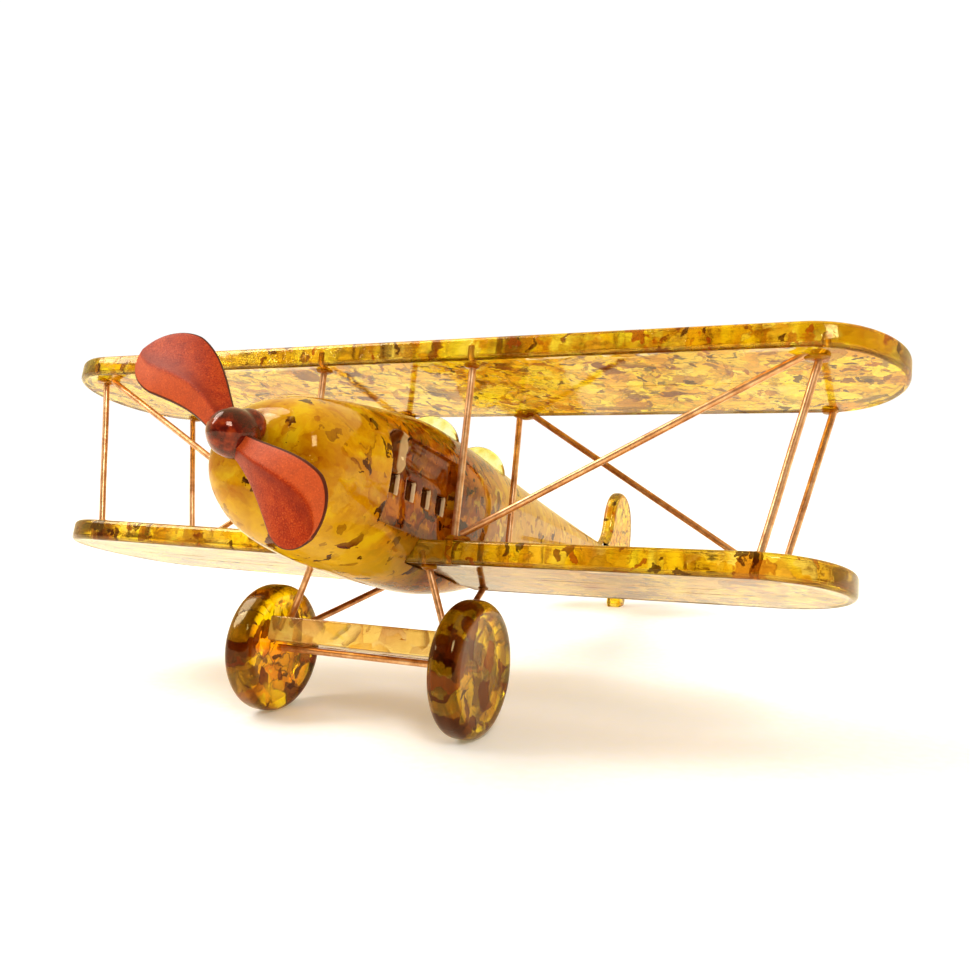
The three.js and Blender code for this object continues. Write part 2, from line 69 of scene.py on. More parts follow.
SITTING_ANGLE = math.radians(16.6)
WHEEL_CENTRE = Vector((26.6, 4.2, -26.45))  # port wheel, level frame


def box_middle(node):
    low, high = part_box(node)
    return (low + high) / 2


LEVEL = Matrix.Rotation(-SITTING_ANGLE, 4, "X")
ORIGIN = box_middle("port_wheel") - LEVEL @ (WHEEL_CENTRE * MM)
TO_ROW = Matrix.Translation(ORIGIN) @ LEVEL @ Matrix.Scale(MM, 4)
TO_LEVEL = TO_ROW.inverted()

# ---- dimensions shared with the CAD, millimetres

WING_THICKNESS, WING_CHORD, WING_GAP = 5.4, 43.0, 41.4
UPPER_HALF_SPAN, LOWER_HALF_SPAN = 112.3, 103.8
WING_TIP_LENGTH, WING_EDGE_RADIUS = 19.0, 1.2
UPPER_LEAD, LOWER_LEAD, LOWER_ROOT = -6.6, -5.2, 9.0
LOWER_DIHEDRAL = math.radians(0.7)
WHEEL_RADIUS, WHEEL_WIDTH, WHEEL_RIM = 15.1, 7.3, 2.7
BAR_HALF_LENGTH, BAR_DEPTH, BAR_HEIGHT, BAR_TOP = 22.4, 16.5, 5.7, -19.6
SHAFT_Z, HUB_Y, HUB_RADIUS, HUB_HALF_LENGTH = 9.6, -53.4, 4.9, 5.6
TAILPLANE_TOP, TAILPLANE_THICKNESS, TAILPLANE_EDGE = 28.6, 4.0, 1.0
TAILPLANE_HALF_SPAN, TAILPLANE_CHORD, TAILPLANE_LEAD = 36.0, 25.0, 156.0
FIN_THICKNESS, FIN_FRONT, FIN_REAR, FIN_TOP = 4.6, 150.0, 185.0, 53.3
SCREEN_RADIUS, SCREEN_CENTRE_Z, SCREEN_THICKNESS = 9.5, 26.2, 1.1
SCREENS = {"front_windscreen": 17.0, "rear_windscreen": 45.0}
FUSELAGE = np.array([
    [-47.0, 5.4, 5.0, 9.2, 13.2], [-45.6, 11.6, -0.6, 8.6, 17.2],
    [-41.6, 14.9, -4.8, 8.4, 20.6], [-34.0, 16.2, -8.3, 8.8, 23.3],
    [-18.0, 16.5, -10.0, 9.6, 27.1], [2.0, 16.3, -10.2, 10.6, 30.8],
    [22.0, 15.6, -9.2, 12.0, 31.5], [44.0, 13.6, -4.4, 14.0, 31.2],
    [80.0, 9.8, 6.0, 18.0, 30.2], [120.0, 6.6, 14.6, 22.2, 29.5],
    [164.0, 4.0, 20.6, 25.2, 29.0], [185.0, 2.9, 22.4, 25.4, 28.4],
])  # y, half width, belly, widest height, deck
FUSELAGE_SQUARENESS = 2.3
FLANK_FACE, FLANK_FRONT, FLANK_REAR, FLANK_BOTTOM, FLANK_TOP = 13.4, -23.0, 8.0, 0.3, 20.5
LOUVRES, LOUVRE_START, LOUVRE_STEP, LOUVRE_LENGTH, LOUVRE_DEPTH = 4, -18.6, 7.1, 3.7, 1.7
LOUVRE_BOTTOM, LOUVRE_TOP = 7.5, 11.9
SCOOP_CENTRE, SCOOP_RADII = (15.6, -17.5, 16.6), (5.4, 5.0, 5.0)
# the bow follows a share of a half wave along the blade; the crest is the ridge, from -1 to 1 across it
BLADES = {
    "propeller_blade_1": {"angle": 147.0, "tip_radius": 32.2, "bow": -2.5, "share": 1.0, "full": 7.6,
                          "widest": 0.68, "crest_root": 0.1, "crest_tip": 0.4},
    "propeller_blade_2": {"angle": -47.0, "tip_radius": 28.7, "bow": 3.6, "share": 0.75, "full": 8.0,
                          "widest": 0.72, "crest_root": 0.0, "crest_tip": 0.5},
}


# ---- mesh helpers

def object_from(name, verts, faces):
    mesh = bpy.data.meshes.new(name)
    mesh.from_pydata([tuple(v) for v in verts], [], faces)
    mesh.transform(TO_ROW)
    mesh.update()
    obj = bpy.data.objects.new(name, mesh)
    scene.collection.objects.link(obj)
    return obj


def face_outwards(mesh):
    bm = bmesh.new()
    bm.from_mesh(mesh)
    bmesh.ops.recalc_face_normals(bm, faces=bm.faces)
    bm.to_mesh(mesh)
    bm.free()


def finish_piece(obj, look, nodes=(), body="airframe", crease=38):
    """Smooth shading, a look from MATERIALS, and the CAD nodes and body it belongs to."""
    mesh = obj.data
    face_outwards(mesh)
    mesh.shade_smooth()
    mesh.set_sharp_from_angle(angle=math.radians(crease))
    mesh.materials.clear()
    mesh.materials.append(MATERIALS[look])
    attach(obj, body)
    if nodes:
        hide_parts(*nodes)


def loft(rings):
    """Vertices and faces of a skin over closed rings, with a flat face on both ends."""
    sides = len(rings[0])
    verts = [p for ring in rings for p in ring]
    faces = []
    for r in range(len(rings) - 1):
        for k in range(sides):
            a, b = r * sides + k, r * sides + (k + 1) % sides
            faces.append((a, b, b + sides, a + sides))
    faces.append(tuple(reversed(range(sides))))
    faces.append(tuple(range((len(rings) - 1) * sides, len(rings) * sides)))
    return verts, faces


def waves(point, size, seed):
    """Smooth noise about zero, with waves of the given size."""
    return noise.noise(Vector(point) / size + Vector((seed, seed * 1.7, -seed)))


RIPPLE_SIZE, RIPPLE_LEAN = 9.0, 0.7  # the lean keeps nearly all of the ripple below the flat face


def slab(outline, bottom, thickness, edge, insets, ripple=0.07, seed=1.0):
    """Plate with rounded edges, hand-polished: its broad faces dip unevenly, by about the ripple."""
    steps = 7
    levels = []
    for i in range(steps + 1):
        angle = math.pi / 2 * i / steps
        levels.append((edge * (1 - math.sin(angle)), edge * (1 - math.cos(angle))))
    lower = [(i, bottom) for i in reversed(insets)] + [(i, bottom + z) for i, z in levels]
    top = bottom + thickness
    upper = [(i, top - z) for i, z in reversed(levels)] + [(i, top) for i in insets]
    rings = []
    for inset, z in lower + upper:
        ring = []
        for x, y in outline(inset):
            dip = ripple * (RIPPLE_LEAN + waves((x, y, z), RIPPLE_SIZE, seed)) if inset > edge else 0
            ring.append((x, y, z + (dip if z < bottom + thickness / 2 else -dip)))
        rings.append(ring)
    return loft(rings)


def tip_arc(side, start, length, chord, lead, inset, steps):
    """Half ellipse round a wing tip, moved inwards by the inset."""
    points = []
    for i in range(steps + 1):
        angle = side * math.pi * (i / steps - 0.5)
        points.append((
            side * (start + max(0.0, length - inset) * math.cos(angle)),
            lead + chord / 2 + max(0.05, chord / 2 - inset) * math.sin(angle),
        ))
    return points


def split_edges(points, counts):
    """The closed outline with each edge split into its own count of equal stretches."""
    result = []
    for (p, q), count in zip(zip(points, points[1:] + points[:1]), counts):
        for k in range(count):
            t = k / count
            result.append((p[0] + (q[0] - p[0]) * t, p[1] + (q[1] - p[1]) * t))
    return result


# ---- materials

def linear(colour):
    return tuple((c / 255 / 12.92) if c / 255 <= 0.04045 else ((c / 255 + 0.055) / 1.055) ** 2.4
                 for c in colour) + (1.0,)


class Graph:
    """Short calls that add nodes to the node tree of a material or a world."""

    def __init__(self, owner):
        owner.use_nodes = True
        self.tree = owner.node_tree
        self.tree.nodes.clear()

    def node(self, kind, inputs=None, **settings):
        made = self.tree.nodes.new(kind)
        for key, value in settings.items():
            setattr(made, key, value)
        self.feed(made, inputs or {})
        return made

    def feed(self, made, inputs):
        for key, value in inputs.items():
            if isinstance(value, bpy.types.NodeSocket):
                self.tree.links.new(value, made.inputs[key])
            else:
                made.inputs[key].default_value = value

    def math(self, operation, a, b=0.0, clamp=False):
        made = self.node("ShaderNodeMath", {0: a, 1: b}, operation=operation, use_clamp=clamp)
        return made.outputs[0]

    def vector(self, operation, a, b, out=0):
        return self.node("ShaderNodeVectorMath", {0: a, 1: b}, operation=operation).outputs[out]

    def scaled(self, a, factor):
        made = self.node("ShaderNodeVectorMath", {0: a, "Scale": factor}, operation="SCALE")
        return made.outputs[0]

    def length(self, vector):
        return self.vector("LENGTH", vector, (0, 0, 0), out=1)

    def mix(self, factor, a, b, blend="MIX"):
        made = self.node("ShaderNodeMix", {0: factor, 6: a, 7: b}, data_type="RGBA", blend_type=blend)
        return made.outputs[2]

    def span(self, value, low, high, to_low=0.0, to_high=1.0, **settings):
        """The value mapped from low..high to to_low..to_high, and clamped."""
        return self.node("ShaderNodeMapRange", {
            "Value": value, "From Min": low, "From Max": high, "To Min": to_low, "To Max": to_high,
        }, clamp=True, **settings).outputs[0]

    def overlap(self, first, *masks):
        """Product of masks, 1 only where all of them are."""
        result = first
        for mask in masks:
            result = self.math("MULTIPLY", result, mask)
        return result

    def noise(self, vector, size, detail=3.0, roughness=0.5, out="Fac"):
        """Noise with blotches of a size in millimetres."""
        return self.node("ShaderNodeTexNoise", {
            "Vector": vector, "Scale": 1 / (size * MM), "Detail": detail, "Roughness": roughness,
        }).outputs[out]

    def ramp(self, value, stops, interpolation="CONSTANT"):
        made = self.node("ShaderNodeValToRGB", {"Fac": value})
        ramp = made.color_ramp
        ramp.interpolation = interpolation
        for k, (place, colour) in enumerate(stops):
            element = ramp.elements[k] if k < 2 else ramp.elements.new(place)
            element.position = place
            element.color = linear(colour)
        return made.outputs[0]

    def grey(self, colour):
        return self.node("ShaderNodeRGBToBW", {0: colour}).outputs[0]

    def part(self, colour, channel):
        return self.node("ShaderNodeSeparateColor", {0: colour}).outputs[channel]

    def bump(self, height, strength, distance, normal=None):
        inputs = {"Height": height, "Strength": strength, "Distance": distance * MM}
        if normal is not None:
            inputs["Normal"] = normal
        return self.node("ShaderNodeBump", inputs).outputs[0]

    def voronoi(self, vector, size, feature="F1"):
        """Cells of a size in millimetres."""
        return self.node("ShaderNodeTexVoronoi", {"Vector": vector, "Scale": 1 / (size * MM)},
                         feature=feature)

    def mirror_reflection(self):
        """1 for a ray that a surface mirrors, and 0 for all others, even through clear amber."""
        path = self.node("ShaderNodeLightPath").outputs
        return self.math("SUBTRACT", path["Is Glossy Ray"], path["Is Transmission Ray"], clamp=True)


# a strewn flake in cell sizes: where its outline fades out, and where its shaded edge sets in
FLAKE_OUTLINE, FLAKE_EDGE = (0.60, 0.55), (-0.05, -0.45)
FLAKE_COVER, FLAKE_SHADOW = 0.95, (120, 62, 20)


class Surface(Graph):
    """One procedural material ending in a single Principled shader."""

    def __init__(self, name):
        self.material = bpy.data.materials.new(name)
        super().__init__(self.material)
        self.shader = self.node("ShaderNodeBsdfPrincipled")
        self.node("ShaderNodeOutputMaterial", {"Surface": self.shader.outputs[0]})
        self.coords = self.node("ShaderNodeTexCoord").outputs["Object"]

    def strewn(self, tone, vector, size, share, slim, palette, plane, offset, shade=0.8):
        """Flat flakes at random angles over the tone, darker along one edge, in a share of the cells.

        A flake is slim times longer than wide. The offset keeps two layers of flakes apart.
        """
        moved = self.vector("ADD", vector, (offset, -offset, offset))
        cells = self.voronoi(moved, size)
        pick = cells.outputs["Color"]
        away = self.scaled(self.vector("SUBTRACT", moved, cells.outputs["Position"]), 1 / (size * MM))
        turned = self.node("ShaderNodeVectorRotate", {
            "Vector": away, "Angle": self.math("MULTIPLY", self.part(pick, 0), 2 * math.pi),
        }, rotation_type=plane).outputs[0]
        flat = plane == "Z_AXIS"
        stretch = (1.0, slim, 1.0) if flat else (1.0, 1.0, slim)
        reach = self.length(self.vector("MULTIPLY", turned, stretch))
        present = self.math("LESS_THAN", self.part(pick, 1), share)
        mask = self.overlap(self.span(reach, *FLAKE_OUTLINE), present, FLAKE_COVER)
        across = self.node("ShaderNodeSeparateXYZ", {0: turned}).outputs[1 if flat else 2]
        edge = self.span(self.math("MULTIPLY", across, slim), *FLAKE_EDGE, 0.0, shade)
        colour = self.ramp(self.part(pick, 2), shares(palette))
        colour = self.mix(edge, colour, linear(FLAKE_SHADOW), "MULTIPLY")
        return self.mix(mask, tone, colour)


YELLOW, LEMON, HONEY, GOLD = (250, 194, 8), (252, 220, 34), (214, 134, 5), (238, 166, 8)
COGNAC, RUST, BROWN, DARK = (184, 98, 6), (158, 60, 6), (122, 52, 6), (66, 18, 3)
CREAM, TAN, AMBER = (250, 214, 80), (234, 186, 86), (200, 118, 8)
AMBER_IOR, AMBER_GLINT = 1.54, (1.0, 0.78, 0.36, 1.0)
# sizes of the noise in pressed amber in millimetres, the first one in chip sizes
CHIP_WARP, TEAR, CLOUD, CRACK, PATCH, GRAIN, POLISH = 2.4, 2.2, 7.0, 5.0, 14.0, 0.9, 6.0
MIDDLE_GREY = (0.5, 0.5, 0.5)


def shares(pairs):
    """Constant ramp stops from (share, colour) pairs."""
    total = sum(share for share, _ in pairs)
    stops, place = [], 0.0
    for share, colour in pairs:
        stops.append((place, colour))
        place += share / total
    return stops


def amber(name, chip, palette, flecks, clarity, flake, splinter, matrix=HONEY, matrix_share=0.3,
          squash=(1.0, 1.0, 1.0), plane="Z_AXIS", seed=0.0, zones=None, seam=(BROWN, 0.04, 0.5),
          gloss=0.18, bend=2.0, ragged=4.5):
    """Chips of amber pressed into a clear honey matrix and polished.

    The chips are cells of a 3-D Voronoi pattern with bent, ragged outlines, longer along an axis
    whose squash is below 1. Each has one tone, painted light and shade slanting across it as on a
    tilted flake, and a thin seam of (tone, width, weight). Flakes and small splinters of (size,
    share) lie over them in the plane across one axis. Zones change tone and clarity from place to
    place; some paint shade and highlights into the louvres, the scoop and the wing roots. Sizes
    are in millimetres.
    """
    g = Surface(name)
    level = g.node("ShaderNodeVectorRotate", {"Vector": g.coords, "Angle": SITTING_ANGLE},
                   rotation_type="X_AXIS").outputs[0]
    spot = g.vector("ADD", level, (seed, seed * 0.7, -seed * 0.4))
    warp = g.noise(spot, CHIP_WARP * chip, 2.0, out="Color")
    warp = g.scaled(g.vector("SUBTRACT", warp, MIDDLE_GREY), chip * MM * bend)
    torn = g.noise(spot, TEAR, 3.0, out="Color")
    torn = g.scaled(g.vector("SUBTRACT", torn, MIDDLE_GREY), ragged * MM)
    warped = g.vector("MULTIPLY", g.vector("ADD", g.vector("ADD", spot, warp), torn), squash)
    cells = g.voronoi(warped, chip)
    pick = cells.outputs["Color"]
    tone = g.ramp(g.part(pick, 0), shares(palette))
    # painted light and shade inside each chip, as on a tilted flake: lighter one way and browner the other
    away = g.scaled(g.vector("SUBTRACT", warped, cells.outputs["Position"]), 1 / (chip * MM))
    painted_tilt = g.vector("DOT_PRODUCT", away, g.vector("SUBTRACT", pick, MIDDLE_GREY), out=1)
    tone = g.mix(g.span(painted_tilt, 0.0, 0.34, 0.0, 0.5), tone, linear(YELLOW))
    tone = g.mix(g.span(painted_tilt, 0.0, -0.34, 0.0, 0.75), tone, linear(COGNAC), "MULTIPLY")
    # some chips melt into the clear matrix
    cloud = g.noise(spot, CLOUD, 4.0, 0.6)
    clear_tone = g.ramp(cloud, [(0.3, COGNAC), (0.42, matrix), (0.58, GOLD), (0.72, YELLOW)], "LINEAR")
    molten = g.math("LESS_THAN", g.part(pick, 2), matrix_share)
    tone = g.mix(g.math("MULTIPLY", molten, 0.85), tone, clear_tone)
    # seams round the chips, broken up
    rims = g.voronoi(warped, chip, "DISTANCE_TO_EDGE")
    seam_tone, seam_width, seam_weight = seam
    broken = g.span(g.noise(spot, CRACK, 2.0), 0.42, 0.58)
    crack = g.math("MULTIPLY", g.span(rims.outputs["Distance"], seam_width, seam_width * 0.4), broken)
    tone = g.mix(g.math("MULTIPLY", crack, seam_weight), tone, linear(seam_tone))
    # flakes, and splinters that come in patches
    tone = g.strewn(tone, warped, *flake, 1.9, palette, plane, 0.043)
    splinter_size, splinter_share = splinter
    patchy = g.span(g.noise(spot, PATCH, 2.0), 0.42, 0.62, 0.4, 1.6)
    tone = g.strewn(tone, warped, splinter_size, g.math("MULTIPLY", patchy, splinter_share), 2.8,
                    flecks, plane, 0.087, 0.4)
    # fine clouding
    fine = g.noise(warped, GRAIN, 5.0, 0.65)
    haze = g.ramp(fine, [(0.3, (196, 166, 110)), (0.62, (255, 255, 255))], "LINEAR")
    tone = g.mix(0.3, tone, haze, "MULTIPLY")
    clear = 1.0
    if zones is not None:
        tone, clear = zones(g, tone, level, warped)
    # dark chips let less light through
    through = g.span(g.grey(tone), 0.02, 0.35, clarity * 0.4, clarity)
    seam_dip = g.bump(crack, 0.35, 0.05)
    g.feed(g.shader, {
        "Base Color": tone,
        "IOR": AMBER_IOR,
        "Specular IOR Level": gloss,
        "Specular Tint": AMBER_GLINT,
        "Roughness": g.math("ADD", g.math("MULTIPLY", fine, 0.05), 0.04),
        "Transmission Weight": g.math("MULTIPLY", through, clear),
        "Normal": g.bump(g.noise(spot, POLISH, 2.0), 0.5, 0.10, seam_dip),
    })
    return g.material


def clear_amber(name):
    """Thin pale amber of the windscreens: clear lemon with faint swirls."""
    g = Surface(name)
    swirl = g.noise(g.coords, 5.0, 3.0, 0.6)
    tones = [(0.35, (222, 200, 74)), (0.5, (240, 226, 120)), (0.62, (250, 244, 178))]
    g.feed(g.shader, {
        "Base Color": g.ramp(swirl, tones, "LINEAR"),
        "IOR": AMBER_IOR,
        "Specular IOR Level": 0.4,
        "Roughness": g.span(g.noise(g.coords, 0.8, 3.0), 0.3, 0.7, 0.015, 0.06),
        "Transmission Weight": 0.97,
        "Normal": g.bump(swirl, 0.3, 0.08),
    })
    return g.material


def copper(name):
    """Copper-coated rod: drawn, a little speckled with glue and tarnish."""
    g = Surface(name)
    blotch = g.noise(g.coords, 3.5, 5.0, 0.7)
    speckle = g.noise(g.coords, 0.5, 4.0, 0.7)
    tones = [(0.3, (172, 112, 66)), (0.5, (222, 164, 112)), (0.7, (246, 204, 156))]
    spots = g.math("MULTIPLY", g.span(speckle, 0.62, 0.7), 0.35)
    g.feed(g.shader, {
        "Base Color": g.mix(spots, g.ramp(blotch, tones, "LINEAR"), linear((120, 74, 40))),
        "Metallic": 0.8,
        "Roughness": g.span(blotch, 0.3, 0.7, 0.4, 0.28),
        "Coat Weight": 0.2,
        "Coat Roughness": 0.1,
        "Normal": g.bump(speckle, 0.2, 0.04),
    })
    return g.material


def leaf(name):
    """Opaque red-brown amber of the propeller blades: fine grained, satin.

    Its mesh carries facet, for a painted highlight on the lit facet and painted shade in the valley by
    the ridge, and rim, 1 on the dark edges and back.
    """
    g = Surface(name)
    grain = g.noise(g.coords, 0.3, 4.0, 0.75)
    mottle = g.noise(g.coords, 2.6, 4.0, 0.6)
    tone = g.ramp(mottle, [(0.3, (138, 32, 1)), (0.5, (160, 44, 2)), (0.7, (174, 58, 6))], "LINEAR")
    tone = g.mix(g.span(grain, 0.48, 0.34, 0.0, 0.75), tone, linear((78, 16, 1)))
    tone = g.mix(g.span(grain, 0.54, 0.66, 0.0, 0.55), tone, linear((214, 98, 40)))
    facet = g.node("ShaderNodeAttribute", attribute_name="facet").outputs["Fac"]
    # painted highlight on the lit facet
    tone = g.mix(g.span(facet, 0.5, 1.0, 0.0, 0.38), tone, linear((224, 108, 58)))
    # painted shade in the valley by the ridge
    tone = g.mix(g.span(facet, 0.5, 0.0, 0.0, 0.75), tone, linear((120, 26, 3)))
    side = g.node("ShaderNodeAttribute", attribute_name="rim").outputs["Fac"]
    tone = g.mix(g.math("MULTIPLY", side, 0.9), tone, linear((44, 12, 6)))
    g.feed(g.shader, {
        "Base Color": tone,
        "Specular IOR Level": 0.16,
        "Specular Tint": (1.0, 0.6, 0.4, 1.0),
        "Roughness": g.span(grain, 0.3, 0.7, 0.5, 0.34),
        "Normal": g.bump(grain, 0.3, 0.06),
    })
    return g.material


def cherry(name):
    """Dark cherry amber of the propeller hub, highly polished."""
    g = Surface(name)
    flow = g.noise(g.coords, 3.2, 4.0, 0.6)
    tones = [(0.34, (34, 6, 8)), (0.5, (96, 22, 12)), (0.6, (146, 44, 16)), (0.74, (176, 76, 26))]
    fine = g.noise(g.coords, 0.4, 4.0)
    g.feed(g.shader, {
        "Base Color": g.ramp(flow, tones, "LINEAR"),
        "IOR": AMBER_IOR,
        "Roughness": g.math("ADD", g.math("MULTIPLY", fine, 0.06), 0.04),
        "Specular IOR Level": 0.4,
        "Specular Tint": (1.0, 0.66, 0.5, 1.0),
        "Transmission Weight": 0.25,
        "Normal": g.bump(flow, 0.4, 0.12),
    })
    return g.material


def level_millimetres(g, level):
    """Distance from the middle plane, y and z in the level frame, in millimetres."""
    base = LEVEL.to_3x3().transposed() @ ORIGIN
    place = g.scaled(g.vector("SUBTRACT", level, tuple(base)), 1 / MM)
    x, y, z = g.node("ShaderNodeSeparateXYZ", {0: place}).outputs
    return g.math("ABSOLUTE", x), y, z


# where each zone of the hull sets in and where it is full, as y; the waist has two ends
NOSE_ZONE, WAIST_FRONT, WAIST_REAR, TAIL_ZONE = (-12, -34), (-26, -18), (32, 14), (20, 48)


def body_zones(g, tone, level, spot):
    """Clear honey nose, brown middle round the louvres, cloudy pale tan towards the tail."""
    x, y, z = level_millimetres(g, level)
    along = g.math("ADD", y, g.span(g.noise(spot, 12.0, 2.0), 0.35, 0.65, -6.0, 6.0))
    keep = g.span(g.grey(tone), 0.03, 0.14)  # spares the darkest chips
    flow = g.noise(g.vector("MULTIPLY", spot, (1.0, 0.5, 1.3)), 8.0, 4.0, 0.6)
    nose_tone = g.ramp(flow, [(0.3, (186, 100, 2)), (0.42, (214, 136, 2)), (0.52, (238, 166, 3)),
                              (0.64, (252, 200, 16))], "LINEAR")
    tone = g.mix(g.overlap(g.span(along, *NOSE_ZONE, 0.0, 0.82), keep), tone, nose_tone)
    waist = g.overlap(g.span(along, *WAIST_FRONT), g.span(along, *WAIST_REAR))
    shadow = g.ramp(flow, [(0.36, (86, 42, 6)), (0.5, (152, 94, 20)), (0.62, (220, 172, 62))], "LINEAR")
    tone = g.mix(g.overlap(waist, 0.95), tone, shadow, "MULTIPLY")
    tone = g.strewn(tone, spot, 4.4, g.overlap(waist, 0.45), 2.4, [(3, BROWN), (3, DARK)], "X_AXIS",
                    0.021, 0.3)
    tone = g.mix(g.overlap(g.span(along, *TAIL_ZONE, 0.0, 0.55), keep), tone, linear((218, 170, 74)))
    belly = g.overlap(g.span(z, 1, -8), g.span(along, 10, -10), keep, 0.65)
    tone = g.mix(belly, tone, linear((252, 196, 34)))
    tone = scoop_light(g, louvre_light(g, tone, x, y, z), x, y, z)
    return tone, g.span(along, -26, -14, 0.5, 0.3)


def louvre_light(g, tone, x, y, z):
    """Painted shade on the floors of the louvres, and a painted highlight on their rear walls."""
    louvres = g.overlap(
        g.span(z, LOUVRE_BOTTOM - 0.3, LOUVRE_BOTTOM - 0.1), g.span(z, LOUVRE_TOP + 0.3, LOUVRE_TOP + 0.1),
        g.span(y, LOUVRE_START - 1.4, LOUVRE_START - 0.4), g.span(y, FLANK_REAR, FLANK_REAR - 1))
    floor = g.span(x, FLANK_FACE - 0.9, FLANK_FACE - 1.2)
    # painted shade on the floors of the louvres
    tone = g.mix(g.overlap(louvres, floor, 0.9), tone, linear((62, 20, 4)))
    # a painted highlight on the rear walls of the louvres
    phase = g.math("MODULO", g.math("ADD", y, LOUVRE_STEP - LOUVRE_START), LOUVRE_STEP)
    rear_wall = g.overlap(g.span(phase, LOUVRE_LENGTH - 0.5, LOUVRE_LENGTH - 0.35),
                          g.span(phase, LOUVRE_LENGTH + 0.7, LOUVRE_LENGTH + 0.5))
    depth = g.span(x, FLANK_FACE - 1.1, FLANK_FACE - 0.9), g.span(x, FLANK_FACE - 0.05, FLANK_FACE - 0.15)
    return g.mix(g.overlap(louvres, rear_wall, *depth, 0.85), tone, linear((250, 214, 160)))


def scoop_light(g, tone, x, y, z):
    """Painted shade in the bowl of the scoop towards the nose, with a painted highlight as a pale crescent
    behind it.
    """
    offsets = [g.math("SUBTRACT", value, middle) for value, middle in zip((x, y, z), SCOOP_CENTRE)]
    away = g.node("ShaderNodeCombineXYZ", {
        k: g.math("MULTIPLY", offset, 1 / radius)
        for k, (offset, radius) in enumerate(zip(offsets, SCOOP_RADII))
    }).outputs[0]
    bowl = g.span(g.length(away), 1.08, 1.03)
    height = offsets[2]
    hollow = g.math("ADD", y, g.math("MULTIPLY", g.math("MULTIPLY", height, height), 0.10))
    # painted shade in the bowl of the scoop
    tone = g.mix(g.overlap(bowl, g.span(hollow, -14.1, -14.7), 0.88), tone, linear((84, 32, 6)))
    # painted highlight: a pale crescent behind the shade
    crescent = g.overlap(bowl, g.span(hollow, -14.2, -13.9), g.span(hollow, -12.6, -13.0), 0.75)
    return g.mix(crescent, tone, linear((240, 196, 132)))


def wing_zones(g, tone, level, spot):
    """Painted shade at the roots of the lower wings, next to the hull: browner there."""
    x, _, z = level_millimetres(g, level)
    # painted shade where the lower wings meet the hull
    root = g.overlap(g.span(x, 34, 14), g.span(z, 8, 2), 0.75)
    return g.mix(root, tone, linear((150, 96, 24)), "MULTIPLY"), 1.0


def wheel_zones(g, tone, level, spot):
    """Dark rim round a lighter middle."""
    _, y, z = level_millimetres(g, level)
    squares = [g.math("POWER", g.math("SUBTRACT", value, middle), 2.0)
               for value, middle in ((y, WHEEL_CENTRE.y), (z, WHEEL_CENTRE.z))]
    rim = g.span(g.math("SQRT", g.math("ADD", *squares)), 12.4, 14.2, 0.0, 0.7)
    return g.mix(rim, tone, linear((140, 66, 10)), "MULTIPLY"), 1.0


BODY_MIX = [(3, HONEY), (2.4, GOLD), (1.8, YELLOW), (1.3, COGNAC), (1.0, AMBER), (0.6, CREAM),
            (0.5, BROWN)]
WING_MIX = [(3, YELLOW), (1.3, GOLD), (1.2, (212, 156, 8)), (0.7, COGNAC), (2.6, CREAM), (0.5, BROWN),
            (3.8, LEMON)]
TAIL_MIX = [(3, LEMON), (3, CREAM), (2, YELLOW), (1, HONEY), (0.6, COGNAC)]
WHEEL_MIX = [(1.2, COGNAC), (2.0, BROWN), (2.0, (226, 188, 12)), (3.0, (252, 212, 14)),
             (1.0, (186, 150, 14))]
WINDOW_MIX = [(6.5, (255, 212, 6)), (1.8, (255, 160, 4)), (1.3, RUST), (1.9, BROWN)]
BAR_MIX = [(3, (252, 210, 104)), (2, (255, 228, 142)), (2, (246, 196, 86)), (1.0, (224, 166, 64))]
FLECK_MIX = [(4, BROWN), (3, DARK), (2, RUST), (2, COGNAC), (1.0, LEMON)]
WHEEL_LOOK = {"plane": "X_AXIS", "zones": wheel_zones, "gloss": 0.08, "ragged": 3.0}
